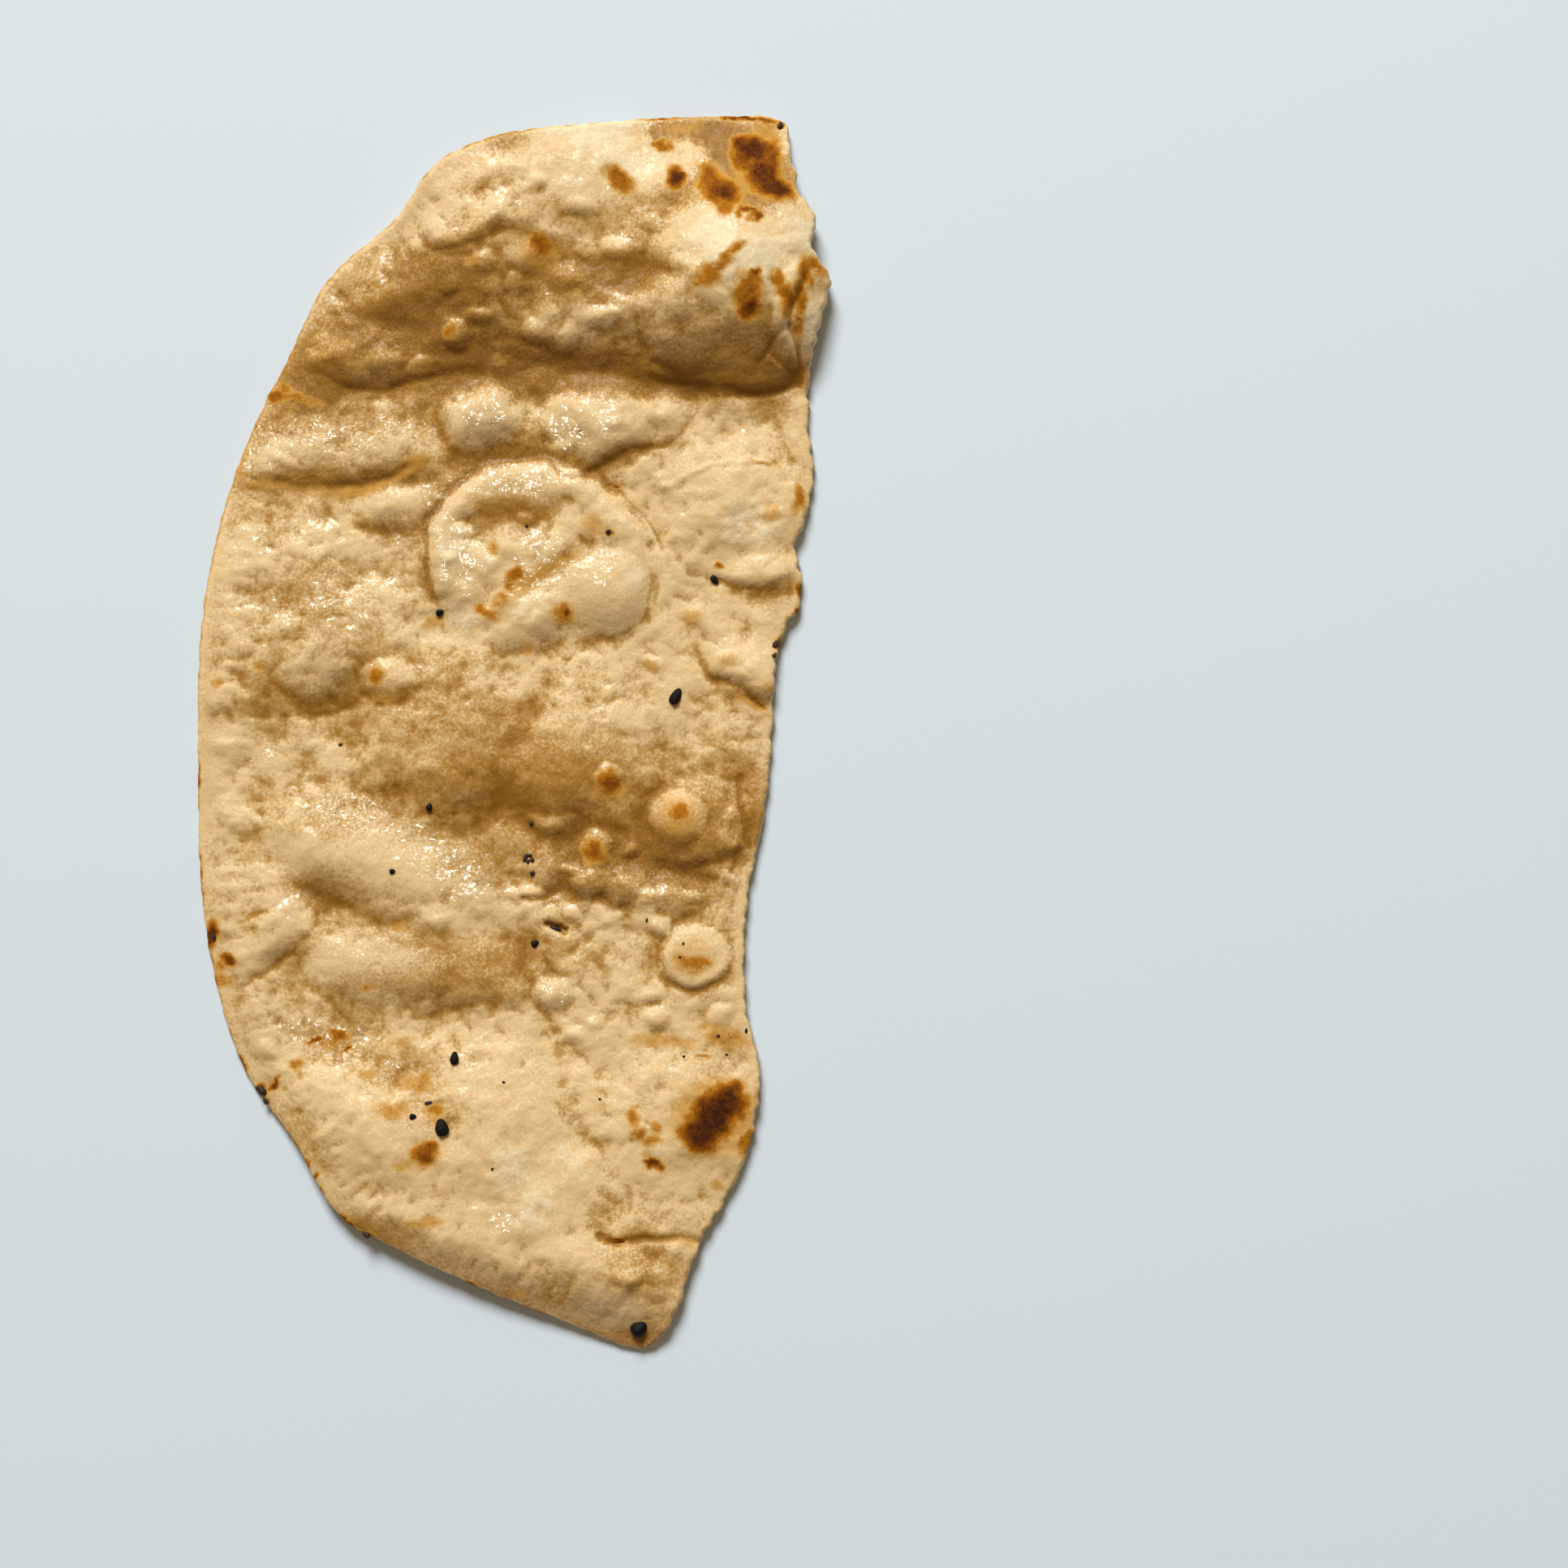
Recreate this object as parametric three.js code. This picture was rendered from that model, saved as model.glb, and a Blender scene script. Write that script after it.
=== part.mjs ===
// Half of a tandoori roti: a round wheat flatbread cut in two, lying flat with its blistered side up.
// Millimetres, +Z up. The cut edge faces +X, and the baked rim bows out to -X.
// The origin is at the centre of the half's footprint, on the surface it lies on.
import * as THREE from "three";
import { mergeVertices } from "three/addons/utils/BufferGeometryUtils.js";

// Driving dimensions
const DOUGH = 2.6; // thickness of the flat bread between blisters
const RIM_DOUGH = 1.5; // thickness left at the baked rim
const RIM_TAPER = 7; // width over which the rim thins
const SWELL_TAPER = 15; // width over which the swells sink towards the rim
const SWELL_AT_RIM = 0.2; // share of a swell's height left at the rim
const EDGE_LIP = 0.7; // how far the upper and lower corners of the edge lie inside its middle
const CORNER_DROP = 0.35; // how far the upper corner of the edge drops below the bread beside it

// Fineness of the faceted solid
const SIDE_STEPS = 92; // points along the rim, and as many along the cut
const TOP_RINGS = 17;
const BOTTOM_RINGS = 5;
const CURVE_DIVISIONS = 20; // divisions of each stretch between two outline points, for measuring its length
const MERGE_WITHIN = 0.001;

// The spine is a bowed line from near one tip to near the other. The rings close in on it and meet there.
const SPINE_HALF = 88;
const spineX = (y) => -6 + 0.08 * y + 0.0036 * y * y;

// The baked rim, from the upper tip round to the lower one: a rough arc with flats and shoulders.
const BAKED_RIM = [
  [49.9, 113.7], [37.3, 114.6], [15.4, 113], [-3.3, 110.4], [-14.2, 105.4], [-21.7, 95.8], [-34.6, 84.5],
  [-42.7, 68.6], [-47.8, 58.7], [-54, 42], [-58, 20.8], [-58.9, -4.9], [-58.4, -28.4], [-55.8, -45.8],
  [-50.2, -63], [-41.4, -75.4], [-32, -90.1], [-23.3, -95.1], [-6.6, -103], [10.1, -109.9], [23.7, -114.8],
];

// The cut edge, from the lower tip back up: a slanted corner, a long shallow bay, and two puffs past it.
const CUT_EDGE = [
  [28.6, -111], [34.6, -95.4], [42.7, -80.2], [45.8, -64.8], [43, -48.9], [43.7, -29.2], [46.4, -16.3],
  [48, -1.1], [49.2, 15.5], [53.7, 26.1], [52.5, 33.7], [55.7, 45.8], [54.9, 56.4], [55.1, 67.8],
  [58.6, 84.5], [55.4, 89.8], [56, 95.5], [53, 100.4], [51.7, 107.2],
];

// A rounded swell: half its width, its reach up (+Y) and down (-Y) from the crown, its turn in degrees,
// its height, and how soft its foot is (1 is a tight blister, 2 a soft mound).
function dome(x, y, half, up, down, turn, height, softness) {
  const angle = THREE.MathUtils.degToRad(turn);
  const [cos, sin] = [Math.cos(angle), Math.sin(angle)];
  return (px, py) => {
    const along = (px - x) * cos + (py - y) * sin;
    const across = (py - y) * cos - (px - x) * sin;
    const q = Math.hypot(along / half, across / (across > 0 ? up : down));
    return q < 1 ? height * (1 - q * q) ** softness : 0;
  };
}

// Puffs, blisters and folds of the upper layer, from the top of the half to the bottom.
const SWELLS = [
  dome(13, 91.5, 54.5, 30.5, 28, 0, 3.9, 1.5), // top shoulder
  dome(40, 81, 28, 32, 20, 0, 2.8, 1.6), // broad swell of the upper corner
  dome(41, 77.5, 18, 26, 15, 0, 4.2, 1), // puff at the cut edge
  dome(27, 73, 11, 12, 9.5, 0, 1.4, 1.2), // left end of the puff
  dome(58, 69, 6.5, 12, 7, 0, 1.1, 1.3), // ledge outside its mouth
  dome(-5, 90, 17, 12, 15, 10, 1.8, 1.7), // swell on the shoulder
  dome(-13, 80, 14, 8, 10, 0, 1.5, 1.3), // lump below it
  dome(-24, 79, 16, 14, 12, 20, 1, 1.7), // upper left swell
  dome(-30, 69, 13, 8, 7.5, 10, 1.4, 1.4), // lower one, nearer the rim
  dome(14, 78, 15, 9, 12, 0, 1.5, 1.6), // swell beside the puff
  dome(-8, 74, 10, 7, 8, 0, 1.2, 1.4), // lump under the shoulder
  dome(-6, 58.5, 8.5, 7.5, 8, 0, 2.4, 1.4), // round blister
  dome(16, 58, 11, 9, 9.5, 0, 2.6, 1.3), // cap-shaped blister
  dome(28.5, 60, 4.5, 4, 4, 0, 0.8, 1.3), // bubble beside the cap
  dome(-30, 53.5, 22, 6.5, 8.5, 0, 1.3, 1.5), // fold from the left rim
  dome(-22, 42.5, 8.5, 4.5, 5.5, 12, 1.2, 1.6), // small swell under the fold
  dome(5, 33.5, 22.5, 17.5, 18, 0, 1.5, 1), // floor of the large sunken blister
  dome(18.5, 26.5, 8.5, 8, 9.5, 0, 1.6, 1.4), // smooth dome inside it
  dome(2.5, 21, 10.5, 7.5, 7, 15, 1, 1.6), // swell below it
  dome(41, 41.5, 16.5, 13, 12, 0, 1.9, 1.6), // mound at the cut edge
  dome(47, 29.5, 8.5, 4, 4.5, 5, 0.9, 1.4), // lobe under the mound
  dome(44, 12, 8, 6.5, 7, -25, 1.5, 1.3), // lobe lower down the cut edge
  dome(-36, 18, 20, 14, 13, 3, 2.5, 1.4), // wide swell, middle left
  dome(-23, 10, 6, 4.5, 5, 0, 1.6, 1.3), // bubble at its foot
  dome(-54.5, 7, 4.5, 5, 5.5, 0, 1.2, 1.4), // bubble on the left rim
  dome(-40, 32, 16.5, 9, 7.5, 8, 1.2, 1.8), // mound above the wide swell
  dome(-13, -3, 18, 21, 17, 0, 2.5, 1.5), // centre swell, left half
  dome(12, -7, 16, 24, 14, 0, 2.7, 1.5), // centre swell, right half
  dome(30.4, -15.4, 6, 5.2, 5.8, 0, 1.2, 1), // crown of the ring blister
  dome(34.5, -19, 11, 12, 8.5, 0, 1.9, 1.3), // its shoulder towards the cut
  dome(15.2, -21.4, 4, 4, 4.2, 0, 1.6, 1.2), // toasted pimple
  dome(14, -27.5, 5, 4, 4, 0, 0.9, 1.3), // pebble
  dome(21, -28.5, 5.5, 4, 4.5, 0, 1, 1.3), // pebble
  dome(30.5, -31, 8.5, 4.5, 4, -8, 0.4, 1.5), // long pebble
  dome(33.8, -41.8, 7, 6.4, 6.4, 0, 1.2, 0.9), // flat-topped blister
  dome(-25, -24, 29, 12, 11, -22, 2.4, 1.5), // first wave
  dome(-19.5, -43.5, 26, 12, 9.5, -8, 1.8, 1.5), // second wave
  dome(-47.5, -32.5, 14, 10, 12, -10, 1.5, 1.6), // root of the waves at the left rim
  dome(7.2, -48.5, 4.2, 3.8, 3.8, 0, 1.1, 1.2), // button
  dome(-31, -71, 22.5, 11.5, 13, -25, 2.1, 1.8), // lower left mound
  dome(-5, -68, 18, 16.5, 19.5, 0, 1.6, 1.6), // lower middle mound
  dome(30.5, -70, 18, 14.5, 18, 0, 1.8, 1.8), // lower right mound
  dome(19, -102.5, 18, 8.5, 9, -20, 1.6, 1.6), // swell above the lower tip
];

// Stretches of the edge where the whole bread curls up off the surface under it.
const LIFTS = [
  dome(54, 92, 34, 34, 26, 0, 2.2, 1.6), // upper tip and the puff's mouth
  dome(-6, 114, 56, 24, 26, 10, 4.4, 1.6), // upper rim
  dome(-64, 18, 20, 34, 34, 0, 1.6, 1.6), // left rim
  dome(-8, -91, 48, 36, 22, -14, 3.6, 1.4), // arch of the lower third
  dome(54, -50, 18, 34, 34, 0, 1.2, 1.6), // lower part of the cut
];

const sum = (domes, x, y) => domes.reduce((total, height) => total + height(x, y), 0);
const liftAt = (x, y) => sum(LIFTS, x, y);

// Height of the upper skin above the lower one, at a point that lies `inset` mm inside the edge.
function doughAt(x, y, inset, baked) {
  const { smoothstep, lerp } = THREE.MathUtils;
  const flat = baked ? lerp(RIM_DOUGH, DOUGH, smoothstep(inset, 0, RIM_TAPER)) : DOUGH;
  const swelling = baked ? lerp(SWELL_AT_RIM, 1, smoothstep(inset, 0, SWELL_TAPER)) : 1;
  return flat + swelling * sum(SWELLS, x, y);
}

// Points along the rim and back along the cut, each with its point on the spine and whether it is baked rim.
// The n-th point of the rim and the n-th from the end of the cut share one point of the spine.
function outlineSpokes() {
  const corners = [...BAKED_RIM, ...CUT_EDGE].map(([x, y]) => new THREE.Vector3(x, y, 0));
  const curve = new THREE.CatmullRomCurve3(corners, true, "centripetal");
  curve.arcLengthDivisions = CURVE_DIVISIONS * corners.length;
  const lengths = curve.getLengths();
  const lowerTip = lengths[CURVE_DIVISIONS * (BAKED_RIM.length - 1)] / lengths.at(-1);
  return Array.from({ length: 2 * SIDE_STEPS }, (_, i) => {
    const baked = i < SIDE_STEPS;
    const down = baked ? i / SIDE_STEPS : 2 - i / SIDE_STEPS;
    const edge = curve.getPointAt(baked ? lowerTip * down : 1 - (1 - lowerTip) * down);
    const spineY = SPINE_HALF * (1 - 2 * down);
    const spine = new THREE.Vector3(spineX(spineY), spineY, 0);
    return { edge, spine, width: edge.distanceTo(spine), baked };
  });
}

// One ring of points, a share of the way in from the edge to the spine, at the heights that heightAt gives.
function ringOf(spokes, shareOf, heightAt) {
  return spokes.map((spoke) => {
    const share = shareOf(spoke);
    const point = spoke.edge.clone().lerp(spoke.spine, share);
    point.z = heightAt(point.x, point.y, share * spoke.width, spoke.baked);
    return point;
  });
}

// The rings in order: in the lower skin from the middle out, round the edge, and back over the upper skin.
function breadRings(spokes) {
  const lip = (spoke) => EDGE_LIP / spoke.width;
  const stepTo = (k, count) => (spoke) => THREE.MathUtils.lerp(lip(spoke), 1, k / count);
  const under = (x, y) => liftAt(x, y);
  const middle = (x, y, inset, baked) => liftAt(x, y) + 0.5 * doughAt(x, y, inset, baked);
  const over = (x, y, inset, baked) => {
    const corner = CORNER_DROP * (1 - THREE.MathUtils.smoothstep(inset, EDGE_LIP, 3 * EDGE_LIP));
    return liftAt(x, y) + doughAt(x, y, inset, baked) - corner;
  };
  const rings = [];
  for (let k = BOTTOM_RINGS; k >= 0; k--) rings.push(ringOf(spokes, stepTo(k, BOTTOM_RINGS), under));
  rings.push(ringOf(spokes, () => 0, middle));
  for (let k = 0; k <= TOP_RINGS; k++) rings.push(ringOf(spokes, stepTo(k, TOP_RINGS), over));
  return rings;
}

// Joins each ring to the next with quads, each split along its shorter diagonal.
// The first and last rings fold flat on the spine, where merging closes them.
function closedSkin(rings) {
  const count = 2 * SIDE_STEPS;
  const points = rings.flat();
  const indices = [];
  rings.slice(1).forEach((_, r) => {
    for (let i = 0; i < count; i++) {
      const [a, b] = [r * count + i, r * count + ((i + 1) % count)];
      const [d, c] = [a + count, b + count];
      const shorter = points[a].distanceTo(points[c]) < points[b].distanceTo(points[d]);
      indices.push(...(shorter ? [a, b, c, a, c, d] : [a, b, d, b, c, d]));
    }
  });
  const geometry = new THREE.BufferGeometry().setFromPoints(points).setIndex(indices);
  const closed = mergeVertices(geometry, MERGE_WITHIN);
  closed.computeVertexNormals();
  return closed;
}

function bakedDough() {
  return new THREE.MeshStandardMaterial({ color: 0xdcbc8b, roughness: 0.55, metalness: 0 });
}

function rotiHalf() {
  const geometry = closedSkin(breadRings(outlineSpokes()));
  geometry.computeBoundingBox();
  const box = geometry.boundingBox;
  const foot = new THREE.Vector3((box.min.x + box.max.x) / 2, (box.min.y + box.max.y) / 2, box.min.z);
  const mesh = new THREE.Mesh(geometry, bakedDough());
  mesh.name = "roti_half";
  mesh.position.copy(foot).negate();
  return mesh;
}

const roti = new THREE.Group();
roti.add(rotiHalf());

export default roti;
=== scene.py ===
"""Looks of the tandoori roti half: its blistered skin, toast, char, ghee and seeds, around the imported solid.

The bread is worked out in millimetres in its own design frame, the one its solid was drawn in, and then
fitted to the solid's box. The cut edge faces +X and the baked rim bows out to -X.
"""

import math
from collections import namedtuple

import bpy
import numpy as np
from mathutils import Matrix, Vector
from mathutils.geometry import delaunay_2d_cdt
from mathutils.kdtree import KDTree


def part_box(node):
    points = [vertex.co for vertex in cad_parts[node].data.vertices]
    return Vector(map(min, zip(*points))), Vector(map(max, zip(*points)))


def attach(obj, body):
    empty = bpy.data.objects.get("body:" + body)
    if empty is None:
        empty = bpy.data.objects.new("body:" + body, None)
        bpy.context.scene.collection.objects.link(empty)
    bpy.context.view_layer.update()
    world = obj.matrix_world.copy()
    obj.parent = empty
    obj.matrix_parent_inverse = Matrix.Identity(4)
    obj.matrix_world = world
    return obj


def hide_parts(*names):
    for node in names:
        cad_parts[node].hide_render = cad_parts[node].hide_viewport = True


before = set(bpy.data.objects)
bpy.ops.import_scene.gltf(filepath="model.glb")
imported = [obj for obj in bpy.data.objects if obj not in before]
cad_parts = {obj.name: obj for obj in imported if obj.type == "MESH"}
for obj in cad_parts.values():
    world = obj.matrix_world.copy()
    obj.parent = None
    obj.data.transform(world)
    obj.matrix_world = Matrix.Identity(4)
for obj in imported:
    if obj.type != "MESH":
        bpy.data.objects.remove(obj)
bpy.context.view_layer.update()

NODE = "roti_half"
MM = 0.001

# ---------------------------------------------------------------- sizes, in millimetres

DOUGH = 2.6  # thickness of the flat bread between blisters
RIM_DOUGH = 1.5  # thickness left at the baked rim
RIM_TAPER = 7  # width over which the rim thins
SWELL_TAPER = 15  # width over which swells sink towards the rim
SWELL_AT_RIM = 0.2  # the share of a swell's height, and of the relief on it, left at the rim
RIM_LIP = 0.75  # how far the rim's upper and lower corners lie inside its middle
CUT_LIP = 0.25  # the same at the cut, whose face is nearly upright
SKIN_STEP = 0.56  # spacing of the upper skin's points
UNDER_STEP = 1.2  # spacing of the underside's points
EDGE_STEP = 0.6  # spacing of the points round the edge
WALL_RINGS = 6  # rings of points between the upper and the lower corner of the edge
CURVE_STEPS = 40  # steps of each stretch between two outline points

# ---------------------------------------------------------------- the outline

# The baked rim, from the upper tip round to the lower one: a rough arc with flats and shoulders.
BAKED_RIM = [
    (49.9, 113.7), (37.3, 114.6), (15.4, 113), (-3.3, 110.4), (-14.2, 105.4), (-21.7, 95.8), (-34.6, 84.5),
    (-42.7, 68.6), (-47.8, 58.7), (-54, 42), (-58, 20.8), (-58.9, -4.9), (-58.4, -28.4), (-55.8, -45.8),
    (-50.2, -63), (-41.4, -75.4), (-32, -90.1), (-23.3, -95.1), (-6.6, -103), (10.1, -109.9), (23.7, -114.8),
]

# The cut edge, from the lower tip back up: a slanted corner, a long shallow bay, and two puffs past it.
CUT_EDGE = [
    (28.6, -111), (34.6, -95.4), (42.7, -80.2), (45.8, -64.8), (43, -48.9), (43.7, -29.2), (46.4, -16.3),
    (48, -1.1), (49.2, 15.5), (53.7, 26.1), (52.5, 33.7), (55.7, 45.8), (54.9, 56.4), (55.1, 67.8),
    (58.6, 84.5), (55.4, 89.8), (56, 95.5), (53, 100.4), (51.7, 107.2),
]


def smooth_curve(points, closed, steps=CURVE_STEPS):
    """Points along a centripetal Catmull-Rom curve through the given ones."""
    knots = np.array(points, float)
    if closed:
        knots = np.vstack([knots[-1:], knots, knots[:2]])
    else:
        knots = np.vstack([2 * knots[0] - knots[1], knots, 2 * knots[-1] - knots[-2]])
    t = np.linspace(0, 1, steps, endpoint=False)[:, None]
    parts = []
    for p0, p1, p2, p3 in zip(knots, knots[1:], knots[2:], knots[3:]):
        d0, d1, d2 = (np.linalg.norm(b - a) ** 0.5 for a, b in ((p0, p1), (p1, p2), (p2, p3)))
        m1 = ((p1 - p0) / d0 - (p2 - p0) / (d0 + d1) + (p2 - p1) / d1) * d1
        m2 = ((p2 - p1) / d1 - (p3 - p1) / (d1 + d2) + (p3 - p2) / d2) * d1
        parts.append(p1 + m1 * t + (3 * (p2 - p1) - 2 * m1 - m2) * t**2 + (2 * (p1 - p2) + m1 + m2) * t**3)
    if not closed:
        parts.append(knots[-2:-1])
    return np.vstack(parts)


# ---------------------------------------------------------------- seeded noise

SEED_STRIDE = 7919
PEBBLE_MERGING = 3.2  # how sharply neighbouring pebbles stay apart
PEBBLE_SOFTNESS = 1.8  # how soft the foot of a pebble is


def dice(ix, iy, seed):
    """An even random number from 0 to 1 for each lattice point."""
    n = ix.astype(np.int64) * 374761393 + iy.astype(np.int64) * 668265263 + seed * SEED_STRIDE
    n &= 0xFFFFFFFF
    n = ((n ^ (n >> 13)) * 1274126177) & 0xFFFFFFFF
    n = ((n ^ (n >> 15)) * 2246822519) & 0xFFFFFFFF
    return ((n ^ (n >> 16)) & 0xFFFFFF) / float(0x1000000)


def fade(t):
    """A step from 0 to 1 that is smooth in its slope and its bend."""
    return t**3 * (6 * t * t - 15 * t + 10)


def noise(x, y, size, seed):
    """Gradient noise, about -1 to 1, whose bumps are about `size` millimetres apart."""
    x, y = np.asarray(x, float) / size, np.asarray(y, float) / size
    ix, iy = np.floor(x), np.floor(y)
    fx, fy = x - ix, y - iy
    total = 0
    for dx in (0, 1):
        for dy in (0, 1):
            angle = 2 * math.pi * dice(ix + dx, iy + dy, seed)
            slope = np.cos(angle) * (fx - dx) + np.sin(angle) * (fy - dy)
            wx, wy = fx if dx else 1 - fx, fy if dy else 1 - fy
            total = total + slope * fade(wx) * fade(wy)
    return 1.6 * total


def layered(x, y, size, seed, layers=3):
    """Noise with finer and weaker noise on it."""
    return sum(noise(x, y, size / 2**n, seed + n) / 2**n for n in range(layers)) / (2 - 0.5 ** (layers - 1))


def pebbles(x, y, cell, share, seed):
    """Rounded bumps from 0 to 1, at most one in a cell, that run together where they meet."""
    ix, iy = np.floor(x / cell), np.floor(y / cell)
    total = np.zeros_like(x)
    for dx in (-1, 0, 1):
        for dy in (-1, 0, 1):
            cx, cy = ix + dx, iy + dy
            px = (cx + dice(cx, cy, seed)) * cell
            py = (cy + dice(cx, cy, seed + 1)) * cell
            grown = dice(cx, cy, seed + 2)
            radius = cell * (0.45 + 0.5 * grown)
            turn = math.pi * dice(cx, cy, seed + 3)
            along = (x - px) * np.cos(turn) + (y - py) * np.sin(turn)
            across = (y - py) * np.cos(turn) - (x - px) * np.sin(turn)
            narrow = 1 + 0.8 * dice(cx, cy, seed + 5)
            q2 = np.clip((along**2 + (narrow * across) ** 2) / radius**2, 0, 1)
            there = dice(cx, cy, seed + 4) < share
            total += (there * (0.4 + 0.6 * grown) * (1 - q2) ** PEBBLE_SOFTNESS) ** PEBBLE_MERGING
    return total ** (1 / PEBBLE_MERGING)


def wandered(x, y, *layers):
    """x and y moved about by noise. A layer is how far it moves them, its bumps' size, and its two seeds."""
    wx, wy = x, y
    for far, size, seed_x, seed_y in layers:
        wx = wx + far * noise(x, y, size, seed_x)
        wy = wy + far * noise(x, y, size, seed_y)
    return wx, wy


def smoothstep(value, low, high):
    t = np.clip((value - low) / (high - low), 0, 1)
    return t * t * (3 - 2 * t)


# ---------------------------------------------------------------- relief

# A spot of something: its middle, its reach along and across, its value, and its turn in degrees.
Spot = namedtuple("Spot", "x y along across value turn", defaults=(0,))

# A rounded swell: its middle, half its width, its reach up (+Y) and down (-Y) from the crown, its turn in
# degrees, its height, and how soft its foot is (1 is a tight blister, 2 a soft mound).
Dome = namedtuple("Dome", "x y half up down turn height softness")

# Puffs, blisters and folds of the upper layer, from the top of the half to the bottom.
SWELLS = [
    Dome(13, 91.5, 54.5, 30.5, 28, 0, 3.9, 1.5),  # top shoulder
    Dome(40, 81, 28, 32, 20, 0, 2.8, 1.6),  # broad swell of the upper corner
    Dome(41, 77.5, 18, 26, 15, 0, 4.2, 1),  # puff at the cut edge
    Dome(27, 73, 11, 12, 9.5, 0, 1.4, 1.2),  # left end of the puff
    Dome(58, 69, 6.5, 12, 7, 0, 1.1, 1.3),  # ledge outside its mouth
    Dome(-5, 90, 17, 12, 15, 10, 1.8, 1.7),  # swell on the shoulder
    Dome(-13, 80, 14, 8, 10, 0, 1.5, 1.3),  # lump below it
    Dome(-24, 79, 16, 14, 12, 20, 1, 1.7),  # upper left swell
    Dome(-30, 69, 13, 8, 7.5, 10, 1.4, 1.4),  # lower one, nearer the rim
    Dome(14, 78, 15, 9, 12, 0, 1.5, 1.6),  # swell beside the puff
    Dome(-8, 74, 10, 7, 8, 0, 1.2, 1.4),  # lump under the shoulder
    Dome(-6, 58.5, 8.5, 7.5, 8, 0, 2.4, 1.4),  # round blister
    Dome(16, 58, 11, 9, 9.5, 0, 2.6, 1.3),  # cap-shaped blister
    Dome(28.5, 60, 4.5, 4, 4, 0, 0.8, 1.3),  # bubble beside the cap
    Dome(-30, 53.5, 22, 6.5, 8.5, 0, 1.3, 1.5),  # fold from the left rim
    Dome(-22, 42.5, 8.5, 4.5, 5.5, 12, 1.2, 1.6),  # small swell under the fold
    Dome(5, 33.5, 22.5, 17.5, 18, 0, 1.5, 1),  # floor of the large sunken blister
    Dome(18.5, 26.5, 8.5, 8, 9.5, 0, 1.6, 1.4),  # smooth dome inside it
    Dome(2.5, 21, 10.5, 7.5, 7, 15, 1, 1.6),  # swell below it
    Dome(41, 41.5, 16.5, 13, 12, 0, 1.9, 1.6),  # mound at the cut edge
    Dome(47, 29.5, 8.5, 4, 4.5, 5, 0.9, 1.4),  # lobe under the mound
    Dome(44, 12, 8, 6.5, 7, -25, 1.5, 1.3),  # lobe lower down the cut edge
    Dome(-36, 18, 20, 14, 13, 3, 2.5, 1.4),  # wide swell, middle left
    Dome(-23, 10, 6, 4.5, 5, 0, 1.6, 1.3),  # bubble at its foot
    Dome(-54.5, 7, 4.5, 5, 5.5, 0, 1.2, 1.4),  # bubble on the left rim
    Dome(-40, 32, 16.5, 9, 7.5, 8, 1.2, 1.8),  # mound above the wide swell
    Dome(-13, -3, 18, 21, 17, 0, 2.5, 1.5),  # centre swell, left half
    Dome(12, -7, 16, 24, 14, 0, 2.7, 1.5),  # centre swell, right half
    Dome(30.4, -15.4, 6, 5.2, 5.8, 0, 1.2, 1),  # crown of the ring blister
    Dome(34.5, -19, 11, 12, 8.5, 0, 1.9, 1.3),  # its shoulder towards the cut
    Dome(15.2, -21.4, 4, 4, 4.2, 0, 1.6, 1.2),  # toasted pimple
    Dome(14, -27.5, 5, 4, 4, 0, 0.9, 1.3),  # pebble
    Dome(21, -28.5, 5.5, 4, 4.5, 0, 1, 1.3),  # pebble
    Dome(30.5, -31, 8.5, 4.5, 4, -8, 0.4, 1.5),  # long pebble
    Dome(33.8, -41.8, 7, 6.4, 6.4, 0, 1.2, 0.9),  # flat-topped blister
    Dome(-25, -24, 29, 12, 11, -22, 2.4, 1.5),  # first wave
    Dome(-19.5, -43.5, 26, 12, 9.5, -8, 1.8, 1.5),  # second wave
    Dome(-47.5, -32.5, 14, 10, 12, -10, 1.5, 1.6),  # root of the waves at the left rim
    Dome(7.2, -48.5, 4.2, 3.8, 3.8, 0, 1.1, 1.2),  # button
    Dome(-31, -71, 22.5, 11.5, 13, -25, 2.1, 1.8),  # lower left mound
    Dome(-5, -68, 18, 16.5, 19.5, 0, 1.6, 1.6),  # lower middle mound
    Dome(30.5, -70, 18, 14.5, 18, 0, 1.8, 1.8),  # lower right mound
    Dome(19, -102.5, 18, 8.5, 9, -20, 1.6, 1.6),  # swell above the lower tip
]

# Stretches of the edge where the whole bread curls up off the surface under it.
LIFTS = [
    Dome(54, 92, 34, 34, 26, 0, 2.2, 1.6),  # upper tip and the puff's mouth
    Dome(-6, 114, 56, 24, 26, 10, 4.4, 1.6),  # upper rim
    Dome(-64, 18, 20, 34, 34, 0, 1.6, 1.6),  # left rim
    Dome(-8, -91, 48, 36, 22, -14, 3.6, 1.4),  # arch of the lower third
    Dome(54, -50, 18, 34, 34, 0, 1.2, 1.6),  # lower part of the cut
]

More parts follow.
